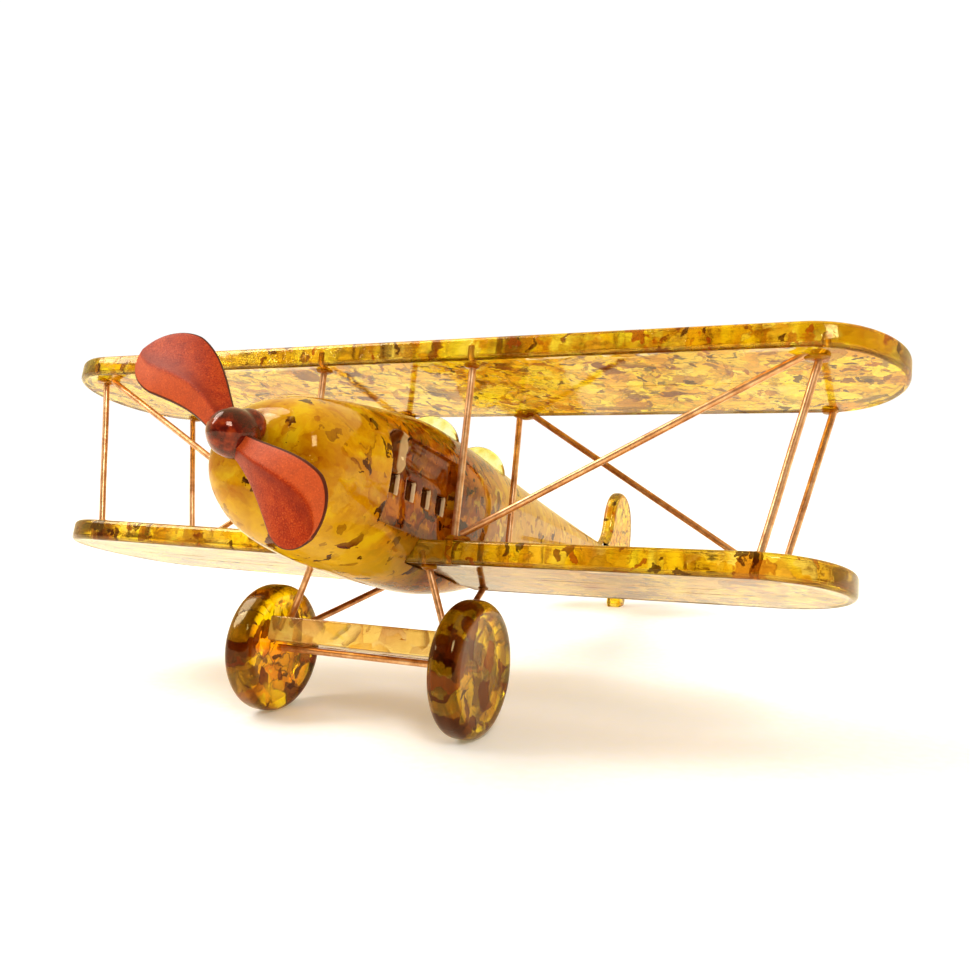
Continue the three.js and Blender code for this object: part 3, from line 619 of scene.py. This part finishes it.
MATERIALS = {
    "body": amber(
        "pressed_amber_body", 6.0, BODY_MIX, FLECK_MIX, 0.7, flake=(5.4, 0.42), splinter=(4.0, 0.55),
        matrix_share=0.4, zones=body_zones, plane="X_AXIS", seed=0.31, seam=(BROWN, 0.025, 0.25)),
    "wing": amber(
        "pressed_amber_wing", 4.8, WING_MIX, FLECK_MIX, 0.95, flake=(5.0, 0.45), splinter=(3.2, 0.42),
        matrix_share=0.15, zones=wing_zones, seed=0.77, squash=(0.85, 0.85, 0.8)),
    "tail": amber(
        "pressed_amber_tail", 4.6, TAIL_MIX, FLECK_MIX, 0.9, flake=(4.0, 0.4), splinter=(3.0, 0.4),
        matrix_share=0.2, plane="X_AXIS", seed=1.9),
    "wheel_port": amber(
        "pressed_amber_port_wheel", 5.6, WHEEL_MIX, [(2, DARK), (2, BROWN), (1.5, LEMON)], 0.97,
        flake=(6.0, 0.35), splinter=(3.4, 0.25), matrix=GOLD, matrix_share=0.1, seed=2.6,
        squash=(0.12, 1.0, 1.0), seam=(DARK, 0.05, 0.6), **WHEEL_LOOK),
    "wheel_starboard": amber(
        "pressed_amber_starboard_wheel", 5.2, WINDOW_MIX, [(3, DARK), (2, BROWN), (2, LEMON)], 0.98,
        flake=(5.0, 0.25), splinter=(3.6, 0.3), matrix=COGNAC, matrix_share=0.05, seed=3.8,
        squash=(0.1, 1.0, 1.0), seam=(DARK, 0.05, 0.8), **WHEEL_LOOK),
    "bar": amber(
        "pressed_amber_bar", 6.5, BAR_MIX, [(2, CREAM), (1, COGNAC)], 0.75, flake=(7.0, 0.3),
        splinter=(2.6, 0.1), matrix=TAN, matrix_share=0.05, seed=3.3, plane="Y_AXIS",
        squash=(0.8, 0.5, 1.2), seam=(COGNAC, 0.02, 0.4), gloss=0.08, bend=0.8, ragged=1.0),
    "screen": clear_amber("clear_amber_screen"),
    "glue": amber(
        "amber_glue", 2.5, [(2, HONEY), (2, COGNAC), (1, GOLD)], [(1, BROWN)], 0.6, flake=(2.0, 0.3),
        splinter=(1.0, 0.1), matrix_share=0.5, seed=5.1, seam=(BROWN, 0.03, 0.2), gloss=0.22),
    "rod": copper("copper_rod"),
    "blade": leaf("red_amber_blade"),
    "hub": cherry("cherry_amber_hub"),
}


# ---- fuselage

def fuselage_station(t):
    """Catmull-Rom blend of the station table, t from 0 to 1."""
    last = len(FUSELAGE) - 1
    place = min(last - 1e-6, t * last)
    i = int(place)
    u = place - i
    p0, p1, p2, p3 = (FUSELAGE[max(0, min(last, k))] for k in (i - 1, i, i + 1, i + 2))
    return (2 * p1 + (p2 - p0) * u + (2 * p0 - 5 * p1 + 4 * p2 - p3) * u ** 2
            + (3 * p1 - p0 - 3 * p2 + p3) * u ** 3) / 2


def hull(sides=72, rings=110, grow=0.0):
    skin = []
    for r in range(rings + 1):
        y, half, belly, waist, deck = fuselage_station(r / rings)
        ring = []
        for k in range(sides):
            angle = 2 * math.pi * k / sides
            c, s = math.cos(angle), math.sin(angle)
            across = math.copysign(abs(c) ** (2 / FUSELAGE_SQUARENESS), c)
            rise = math.copysign(abs(s) ** (2 / FUSELAGE_SQUARENESS), s)
            height = deck - waist if rise > 0 else waist - belly
            ring.append(((half + grow) * across, y, waist + (height + grow) * rise))
        skin.append(ring)
    return loft(skin)


def brick(x0, x1, y0, y1, z0, z1):
    ring = [(x0, y0), (x1, y0), (x1, y1), (x0, y1)]
    return loft([[(x, y, z) for x, y in ring] for z in (z0, z1)])


def ball(centre, radii, seed=0.0, rough=0.0):
    bm = bmesh.new()
    bmesh.ops.create_icosphere(bm, subdivisions=4, radius=1.0)
    verts = []
    for v in bm.verts:
        swell = 1 + rough * waves(v.co, 0.8, seed)
        verts.append(tuple(c + r * x * swell for c, r, x in zip(centre, radii, v.co)))
    faces = [tuple(v.index for v in f.verts) for f in bm.faces]
    bm.free()
    return verts, faces


def bar_between(start, end, radius, sides=24, steps=1, wobble=0.0, seed=0.0):
    """Round bar with chamfered ends, bent a little off its straight line by the wobble."""
    chamfer = 0.25  # of the radius
    start, end = Vector(start), Vector(end)
    axis = (end - start).normalized()
    u = axis.orthogonal().normalized()
    v = axis.cross(u)
    length = (end - start).length
    stations = [(0.0, 1 - chamfer), (chamfer * radius / length, 1.0)]
    stations += [(k / steps, 1.0) for k in range(1, steps)]
    stations += [(1 - chamfer * radius / length, 1.0), (1.0, 1 - chamfer)]
    rings = []
    for place, scale in stations:
        middle = start + axis * (length * place)
        bend = Vector((waves(middle, 17.0, seed), waves(middle, 17.0, seed + 5), 0)) * wobble
        ring = []
        for k in range(sides):
            a = 2 * math.pi * k / sides
            ring.append(tuple(middle + bend + (u * math.cos(a) + v * math.sin(a)) * radius * scale))
        rings.append(ring)
    return loft(rings)


def carve(obj, cutters, voxel=None, smooth=0):
    """Cut shapes out of the piece, then even out and polish its mesh where asked."""
    tools = [object_from(f"tool_{k}", *cutter) for k, cutter in enumerate(cutters)]
    for tool in tools:
        face_outwards(tool.data)
        cut = obj.modifiers.new("cut", "BOOLEAN")
        cut.operation, cut.solver, cut.object = "DIFFERENCE", "EXACT", tool
    if voxel:
        remesh = obj.modifiers.new("even", "REMESH")
        remesh.mode, remesh.voxel_size = "VOXEL", voxel * MM
    if smooth:
        relax = obj.modifiers.new("polish", "SMOOTH")
        relax.factor, relax.iterations = 0.5, smooth
    bpy.context.view_layer.update()
    graph = bpy.context.evaluated_depsgraph_get()
    mesh = bpy.data.meshes.new_from_object(obj.evaluated_get(graph), depsgraph=graph)
    obj.modifiers.clear()
    old = obj.data
    obj.data = mesh
    bpy.data.meshes.remove(old)
    mesh.name = obj.name
    for tool in tools:
        bpy.data.objects.remove(tool)


def lower_outline(side, grow=0.0, steps=36):
    start = LOWER_HALF_SPAN - WING_TIP_LENGTH

    def outline(inset):
        tip = tip_arc(side, start, WING_TIP_LENGTH, WING_CHORD, LOWER_LEAD, inset - grow, steps)
        root = side * (LOWER_ROOT + max(0.0, inset - WING_EDGE_RADIUS) - grow)
        corners = [(root, tip[0][1])] + tip + [(root, tip[-1][1])]
        counts = [14] + [1] * steps + [14, 8]
        return split_edges(corners, counts)
    return outline


def tilt_up(verts, side):
    c, s = math.cos(LOWER_DIHEDRAL), math.sin(LOWER_DIHEDRAL)
    return [(x * c - side * z * s, y, z * c + side * x * s) for x, y, z in verts]


def lower_wing(side, grow=0.0, insets=(1.25, 4.0, 7.5, 11.0, 14.5, 18.0)):
    verts, faces = slab(lower_outline(side, grow), -WING_THICKNESS - grow, WING_THICKNESS + 2 * grow,
                        WING_EDGE_RADIUS, insets, seed=3.0 + side)
    return tilt_up(verts, side), faces


def two_tips(half_span, tip_length, chord, lead, inset, steps):
    start = half_span - tip_length
    return [p for side in (1, -1) for p in tip_arc(side, start, tip_length, chord, lead, inset, steps)]


def upper_outline(inset, steps=40):
    corners = two_tips(UPPER_HALF_SPAN, WING_TIP_LENGTH, WING_CHORD, UPPER_LEAD, inset, steps)
    return split_edges(corners, ([1] * steps + [30]) * 2)


def tailplane_outline(grow=0.0):
    return lambda inset: two_tips(TAILPLANE_HALF_SPAN, TAILPLANE_HALF_SPAN - 4, TAILPLANE_CHORD,
                                  TAILPLANE_LEAD, inset - grow, 36)


TAIL_INSETS = (1.05, 3.0, 6.0, 9.0)
# the skid's foot is level on the ground; its narrower head ends just under the tailplane
SKID_FOOT = {"y": 179.4, "z": 10.09, "width": 5.8, "length": 7.6}
SKID_HEAD = {"y": 177.4, "half_width": 1.6, "half_length": 4, "below_tailplane": 1.2}
SKID_SQUARENESS, SKID_ROUNDING, SKID_STEPS = 0.35, 0.35, 8


def squared(value):
    """A cosine or sine swelled out: the ring becomes a square with round corners."""
    return math.copysign(abs(value) ** SKID_SQUARENESS, value)


def tail_skid():
    half, length = SKID_FOOT["width"] / 2, SKID_FOOT["length"] / 2
    c, s = math.cos(SITTING_ANGLE), math.sin(SITTING_ANGLE)
    top = TAILPLANE_TOP - TAILPLANE_THICKNESS - SKID_HEAD["below_tailplane"]
    rings = []
    for step in range(SKID_STEPS + 1):
        t = step / SKID_STEPS
        ease = t * t * (3 - 2 * t)
        round_off = SKID_ROUNDING if step in (0, SKID_STEPS) else 0.0
        w = half + (SKID_HEAD["half_width"] - half) * ease - round_off
        l = length + (SKID_HEAD["half_length"] - length) * ease - round_off
        ring = []
        for k in range(32):
            a = 2 * math.pi * k / 32
            x, y = squared(math.cos(a)) * w, squared(math.sin(a)) * l
            foot = Vector((x, SKID_FOOT["y"] + y * c, SKID_FOOT["z"] + y * s))
            head = Vector((x, SKID_HEAD["y"] + y, top))
            ring.append(tuple(foot.lerp(head, t)))
        rings.append(ring)
    return loft(rings)


def fuselage_cutters():
    """Tools for the flank recess, scoop, cove behind it and louvres, and slots for wing and tail."""
    cutters = []
    cove_x, cove_radius, slot_gap = 16.4, 3.9, 0.2
    for side in (1, -1):
        inner, outer = sorted((side * FLANK_FACE, side * (FLANK_FACE + 10)))
        cutters.append(brick(inner, outer, FLANK_FRONT, FLANK_REAR, FLANK_BOTTOM, FLANK_TOP))
        x, y, z = SCOOP_CENTRE
        cutters.append(ball((side * x, y, z), SCOOP_RADII))
        cutters.append(bar_between((side * cove_x, y + 4, z), (side * cove_x, FLANK_REAR - 2, z - 0.6),
                                   cove_radius, 32))
        x0, x1 = sorted((side * (FLANK_FACE - LOUVRE_DEPTH), side * (FLANK_FACE + 1)))
        for k in range(LOUVRES):
            y = LOUVRE_START + LOUVRE_STEP * k
            cutters.append(brick(x0, x1, y, y + LOUVRE_LENGTH, LOUVRE_BOTTOM, LOUVRE_TOP))
        cutters.append(lower_wing(side, slot_gap, insets=(1.25, 18.0)))
    cutters.append(slab(tailplane_outline(slot_gap), TAILPLANE_TOP - TAILPLANE_THICKNESS - slot_gap,
                        TAILPLANE_THICKNESS + 2 * slot_gap, TAILPLANE_EDGE, (1.05, 9.0), ripple=0.0))
    return cutters


fuselage = object_from("fuselage_carved", *hull())
carve(fuselage, fuselage_cutters(), voxel=0.3, smooth=2)
finish_piece(fuselage, "body", ["fuselage"], crease=60)

# ---- wings and tail

ROUNDING_ROOM = 0.04  # the CAD's coarser rounding stands this much lower at the front edge
WING_INSETS = (1.25, 3.5, 6.5, 9.5, 12.5, 15.5, 18.5, 21.0)
upper = object_from("upper_wing_polished", *slab(
    upper_outline, WING_GAP, WING_THICKNESS - ROUNDING_ROOM, WING_EDGE_RADIUS, WING_INSETS, seed=2.0))
finish_piece(upper, "wing", ["upper_wing"])
for side, prefix in ((1, "port"), (-1, "starboard")):
    panel = object_from(f"{prefix}_lower_wing_polished", *lower_wing(side))
    finish_piece(panel, "wing", [f"{prefix}_lower_wing"])

tailplane = object_from("tailplane_polished", *slab(
    tailplane_outline(), TAILPLANE_TOP - TAILPLANE_THICKNESS, TAILPLANE_THICKNESS, TAILPLANE_EDGE,
    TAIL_INSETS, seed=6.0))
finish_piece(tailplane, "tail", ["tailplane"])
finish_piece(object_from("tail_skid_polished", *tail_skid()), "tail", ["tail_skid"])


def bezier(points, steps):
    """Points of one Bezier arc of any degree, without its last point."""
    degree = len(points) - 1
    result = []
    for k in range(steps):
        t = k / steps
        result.append(tuple(sum(
            math.comb(degree, i) * (1 - t) ** (degree - i) * t ** i * p[axis] for i, p in enumerate(points)
        ) for axis in (0, 1)))
    return result


FIN_FOOT, FIN_EDGE = TAILPLANE_TOP - 0.3, 1.7  # sunk a little into the hull; rounding radius


def fin_profile():
    """Outline in y and z: swept front, rounded top, upright rear edge."""
    foot = FIN_FOOT
    y, r, top = FIN_FRONT, FIN_REAR, FIN_TOP
    outline = bezier([(y, foot), (y + 9, foot + 3), (y + 10, foot + 10)], 18)
    outline += bezier([(y + 10, foot + 10), (y + 11, top - 2), (y + 17, top), (y + 21, top)], 22)
    outline += bezier([(y + 21, top), (y + 27, top), (r - 1, top - 3), (r, foot + 9)], 22)
    outline += bezier([(r, foot + 9), (r, foot)], 8)
    outline += bezier([(r, foot), (y, foot)], 24)
    return outline


def shrunk(outline, inset, low):
    """The outline moved inwards along its normals; it stays above the height low."""
    count = len(outline)
    result = []
    for k, (y, z) in enumerate(outline):
        (y0, z0), (y1, z1) = outline[k - 1], outline[(k + 1) % count]
        dy, dz = y1 - y0, z1 - z0
        size = math.hypot(dy, dz) or 1
        result.append((y + dz / size * inset, max(low, z - dy / size * inset)))
    return result


def fin():
    half, edge = FIN_THICKNESS / 2, FIN_EDGE
    levels = [(edge * (1 - math.sin(a)), half - edge * (1 - math.cos(a)))
              for a in (math.pi / 2 * k / 7 for k in range(8))]
    rings = [[(x, y, z) for y, z in shrunk(fin_profile(), inset, FIN_FOOT)]
             for inset, x in [(edge + 0.1, half)] + levels]
    mirrored = [[(-x, y, z) for x, y, z in ring] for ring in reversed(rings)]
    return loft(rings + mirrored)


finish_piece(object_from("tail_fin_polished", *fin()), "tail", ["tail_fin"])


def windscreen(y):
    """Half disc with softened edges; its straight side is cut away to sit on the deck."""
    half, chamfer, edge, skirt = SCREEN_THICKNESS / 2, 0.34, 0.3, 3
    rings = []
    for inset, depth in ((chamfer, -half), (0.0, -half + edge), (0.0, half - edge), (chamfer, half)):
        radius = SCREEN_RADIUS - inset
        ring = []
        for k in range(49):
            a = math.pi * k / 48
            ring.append((radius * math.cos(a), y + depth, SCREEN_CENTRE_Z + radius * math.sin(a)))
        ring += [(x, y + depth, SCREEN_CENTRE_Z - skirt) for x in np.linspace(-radius, radius, 9)]
        rings.append(ring)
    return loft(rings)


for name, y in SCREENS.items():
    screen = object_from(f"{name}_clear", *windscreen(y))
    carve(screen, [hull(grow=-0.05)])
    finish_piece(screen, "screen", [name])

# ---- landing gear

WHEEL_SCALE = 0.9955  # the CAD wheel stands on a flat of its polygon
WHEEL_DISH = ((0.01, 1.0), (3.0, 0.95), (6.5, 0.75), (9.6, 0.42))  # radius, depth below the rim


def wheel(side):
    """Disc with dished faces and a round rim, turned by hand."""
    half, rim = WHEEL_WIDTH / 2, WHEEL_RIM
    profile = [(radius, -half + depth) for radius, depth in WHEEL_DISH]
    profile.append((WHEEL_RADIUS - rim - 0.6, -half + 0.06))
    other_face = [(radius, -x) for radius, x in reversed(profile)]
    for start, middle in ((-math.pi / 2, -(half - rim)), (0, half - rim)):
        for k in range(9):
            a = start + math.pi / 2 * k / 8
            profile.append((WHEEL_RADIUS - rim * (1 - math.cos(a)), middle + rim * math.sin(a)))
    rings = []
    for radius, along in profile + other_face:
        ring = []
        for k in range(96):
            a = 2 * math.pi * k / 96
            wave = 0.06 * waves((radius * math.cos(a), radius * math.sin(a), along), 5.0, 8.0 + side)
            if radius > WHEEL_RADIUS - 0.5:
                wave = 0.0
            reach = radius * WHEEL_SCALE
            ring.append((WHEEL_CENTRE.x * side + along + wave, WHEEL_CENTRE.y + reach * math.cos(a),
                         WHEEL_CENTRE.z + reach * math.sin(a)))
        rings.append(ring)
    return loft(rings)


for side, prefix in ((1, "port"), (-1, "starboard")):
    tyre = object_from(f"{prefix}_wheel_polished", *wheel(side))
    finish_piece(tyre, f"wheel_{prefix}", [f"{prefix}_wheel"], f"{prefix}_wheel")


def spreader_outline(inset):
    x, y = BAR_HALF_LENGTH - inset, BAR_DEPTH / 2 - inset
    middle = WHEEL_CENTRE.y - 0.2
    corners = [(-x, middle - y), (x, middle - y), (x, middle + y), (-x, middle + y)]
    return split_edges(corners, [20, 8, 20, 8])


bar = object_from("spreader_bar_polished", *slab(
    spreader_outline, BAR_TOP - BAR_HEIGHT, BAR_HEIGHT, 0.45, (0.5, 2.5, 5.0, 7.5), ripple=0.12, seed=7.0))
finish_piece(bar, "bar", ["spreader_bar"])

# ---- propeller

BLADE_ROOT_WIDTH, BLADE_THICKNESS = 2.9, 0.93  # both are half measures


def leaf_half_width(s, full, widest):
    if s > widest:
        u = (s - widest) / (1 - widest)
        return full * math.sqrt(max(0.003, 1 - u * u))
    u = s / widest
    return BLADE_ROOT_WIDTH + (full - BLADE_ROOT_WIDTH) * (u * u * (3 - 2 * u) * 0.5 + u * 0.5)


def facet_shade(t, crest, s):
    """Painted light: 0.5 on plain ground, a highlight past the ridge and shade in the valley before it."""
    past = min(1.0, max(0.0, (t - crest + 0.05) / 0.2))
    lit = past * past * (3 - 2 * past)
    valley = math.exp(-((t - crest + 0.14) / 0.24) ** 2)
    return 0.5 + 0.5 * lit * (0.55 + 0.45 * s) - 0.42 * valley * (1 - lit)


def blade(angle, tip_radius, bow, share, full, widest, crest_root, crest_tip, stations=60, sides=88):
    """Paddle with a soft S-shaped ridge that parts its front into two facets."""
    root = HUB_RADIUS - 1.6
    turn = math.radians(angle)
    rings, rims, facets = [], [], []
    for i in range(stations + 1):
        s = math.sin(math.pi / 2 * i / stations)  # 0 at the hub, 1 at the tip
        radius = root + (tip_radius - root) * s
        shift = bow * math.sin(math.pi * share * s)
        half = leaf_half_width(s, full, widest)
        thick = BLADE_THICKNESS * (1 - 0.35 * s)
        pitch = math.radians(-24 + 16 * s)
        crest = crest_root + (crest_tip - crest_root) * s
        ridge = (2.3 - 1.4 * s) * math.sin(math.pi * min(1, 0.08 + 0.92 * s)) ** 0.8
        ring = []
        for k in range(sides):
            a = 2 * math.pi * k / sides
            c, n = math.cos(a), math.sin(a)
            t = math.copysign(abs(c) ** 0.8, c)  # -1 to 1 across the blade
            front = n < 0
            deep = thick * math.copysign(abs(n) ** 0.45, n)
            if front:
                gap = (1 - crest) if t > crest else (1 + crest)
                lift = max(0.0, 1 - abs(t - crest) / gap)
                deep -= ridge * lift ** 1.15
            cross = shift + half * t
            y = cross * math.sin(pitch) + deep * math.cos(pitch)
            z = cross * math.cos(pitch) - deep * math.sin(pitch)
            ring.append((radius * math.cos(turn) - z * math.sin(turn), HUB_Y + y,
                         SHAFT_Z + radius * math.sin(turn) + z * math.cos(turn)))
            rims.append(1.0 if abs(n) < 0.3 or not front else 0.0)
            facets.append(facet_shade(t, crest, s))
        rings.append(ring)
    return loft(rings), {"rim": rims, "facet": facets}


for name, shape in BLADES.items():
    (verts, faces), shades = blade(**shape)
    piece = object_from(f"{name}_satin", verts, faces)
    for label, values in shades.items():
        layer = piece.data.attributes.new(label, "FLOAT", "POINT")
        layer.data.foreach_set("value", np.array(values, np.float32))
    finish_piece(piece, "blade", [name], "propeller", crease=50)


def merged(*shapes):
    verts, faces = [], []
    for more, quads in shapes:
        faces += [tuple(i + len(verts) for i in face) for face in quads]
        verts += list(more)
    return verts, faces


hub = object_from("propeller_hub_polished", *merged(
    ball((0, HUB_Y, SHAFT_Z), (HUB_RADIUS, HUB_HALF_LENGTH, HUB_RADIUS), seed=4.0, rough=0.04),
    ball((1.3, HUB_Y + 2.0, SHAFT_Z + 2.0), (3.6, 3.2, 3.4), seed=6.0, rough=0.06)))
carve(hub, [], voxel=0.3, smooth=6)
finish_piece(hub, "hub", ["propeller_hub"], "propeller", crease=60)

# ---- rods

ROD_BEND = 0.12


def rod_ends(node):
    """Both ends of a CAD rod in the level frame, and its radius."""
    points = np.array([TO_LEVEL @ v.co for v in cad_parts[node].data.vertices])
    middle = points.mean(0)
    axis = np.linalg.svd(points - middle, full_matrices=False)[2][0]
    along = (points - middle) @ axis
    radius = np.linalg.norm(points - middle - np.outer(along, axis), axis=1).max()
    return middle + axis * along.min(), middle + axis * along.max(), radius


STRAIGHT_RODS = ["axle", "propeller_pin"]
RODS = [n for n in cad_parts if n.endswith(("_strut", "_brace", "_leg"))] + STRAIGHT_RODS
for index, node in enumerate(sorted(RODS)):
    bend = 0.0 if node in STRAIGHT_RODS else ROD_BEND
    shape = bar_between(*rod_ends(node), steps=24, wobble=bend, seed=index * 1.3)
    piece = object_from(f"{node}_coated", *shape)
    finish_piece(piece, "rod", [node])

# ---- glue at the rod ends

GLUE = {  # level frame: centre, radii, port side
    "outer_head": ((95.6, -0.4, 41.1), (3.4, 2.0, 0.7)),
    "outer_rear_head": ((94.4, 34.0, 41.2), (2.0, 1.8, 0.6)),
    "inner_rear_head": ((18.6, 34.0, 41.0), (3.4, 2.0, 0.8)),
    "inner_front_head": ((20.6, -2.4, 41.2), (1.9, 1.8, 0.6)),
    "inner_foot": ((21.6, -0.1, 1.0), (3.0, 2.0, 1.2)),
    "outer_foot": ((86.4, 0.0, 1.2), (1.8, 1.7, 0.6)),
    "outer_rear_foot": ((84.8, 34.0, 1.6), (2.6, 1.8, 1.0)),
    "rear_leg_head": ((13.3, 32.6, -5.0), (1.3, 1.3, 0.8)),
    "front_leg_head": ((15.6, -0.8, -5.4), (1.9, 1.9, 0.9)),
}
for index, (name, (centre, radii)) in enumerate(GLUE.items()):
    for side, prefix in ((1, "port"), (-1, "starboard")):
        x, y, z = centre
        shape = ball((x * side, y, z), radii, seed=index + side * 0.3, rough=0.35)
        bead = object_from(f"{prefix}_glue_{name}", *shape)
        finish_piece(bead, "glue")

# ---- studio

WARM_ROOM, WARM_PAPER = (0.82, 0.65, 0.34, 1.0), (0.84, 0.75, 0.56, 1.0)  # in mirror reflections


def studio_floor():
    """Pale paper with a faint warm glow, and a warm tone in mirror reflections."""
    bm = bmesh.new()
    bmesh.ops.create_grid(bm, x_segments=40, y_segments=40, size=6.0)
    mesh = bpy.data.meshes.new("studio_floor")
    bm.to_mesh(mesh)
    bm.free()
    floor = bpy.data.objects.new("studio_floor", mesh)
    scene.collection.objects.link(floor)
    g = Surface("floor_paper")
    paper = g.ramp(g.noise(g.coords, 2.5, 3.0), [(0.3, (238, 236, 232)), (0.7, (244, 242, 239))], "LINEAR")
    g.feed(g.shader, {
        "Base Color": g.mix(g.mirror_reflection(), paper, WARM_PAPER),
        "Roughness": 0.75,
        "Specular IOR Level": 0.25,
        "Emission Color": linear((255, 238, 184)),
        "Emission Strength": 0.2,
    })
    mesh.materials.append(g.material)


def world_light():
    """Bright room, darker on the side the nose faces: white, but warm in mirror reflections."""
    world = bpy.data.worlds.new("studio")
    scene.world = world
    g = Graph(world)
    coords = g.node("ShaderNodeTexCoord").outputs["Generated"]
    facing = g.vector("DOT_PRODUCT", coords, Vector((0.30, -0.90, -0.10)).normalized(), out=1)
    fall = g.span(facing, -0.15, 0.75, 1.3, 0.1, interpolation_type="SMOOTHSTEP")
    direct = g.node("ShaderNodeLightPath").outputs["Is Camera Ray"]
    strength = g.node("ShaderNodeMix", {0: direct, 2: fall, 3: 1.05}, data_type="FLOAT").outputs[0]
    tint = g.mix(g.mirror_reflection(), (1.0, 1.0, 1.0, 1.0), WARM_ROOM)
    room = g.node("ShaderNodeBackground", {"Color": tint, "Strength": strength}).outputs[0]
    g.node("ShaderNodeOutputWorld", {"Surface": room})


def lamp(name, kind, location, target, energy, size, colour=(1, 1, 1), height=0.0):
    """A sun with an angular size, or a rectangle of light."""
    data = bpy.data.lights.new(name, kind)
    data.energy, data.color = energy, colour
    if kind == "SUN":
        data.angle = size
    else:
        data.shape = "RECTANGLE"
        data.size, data.size_y = size, height
    obj = bpy.data.objects.new(name, data)
    obj.location = location
    obj.rotation_euler = (target - obj.location).to_track_quat("-Z", "Y").to_euler()
    scene.collection.objects.link(obj)


studio_floor()
world_light()
MIDDLE = (CAD_BOX[0] + CAD_BOX[1]) / 2
lamp("key_sun", "SUN", (-0.85, -0.1, 1.15), MIDDLE, 1.3, math.radians(30), (1.0, 0.98, 0.95))
lamp("left_softbox", "AREA", (-0.9, -0.6, 0.9), MIDDLE, 6.0, 0.3, height=0.6)
lamp("front_softbox", "AREA", (0.9, -1.1, 1.2), MIDDLE, 13.0, 0.4, height=0.55)

CAMERA_PLACE = ORIGIN + Vector((0.12238, -0.19242, 0.02295))
RIGHT, UP = Vector((0.89845, 0.43906, 0.0002)), Vector((-0.0197, 0.0398, 0.9990))
camera = bpy.data.cameras.new("camera")
camera.sensor_width, camera.lens = 36.0, 36.45
camera.clip_start, camera.clip_end = 0.005, 50
viewer = bpy.data.objects.new("camera", camera)
axes = Matrix((RIGHT.normalized(), UP.normalized(), RIGHT.cross(UP).normalized())).transposed()
viewer.matrix_world = Matrix.Translation(CAMERA_PLACE) @ axes.to_4x4()
scene.collection.objects.link(viewer)
scene.camera = viewer
scene.view_settings.view_transform = "Standard"
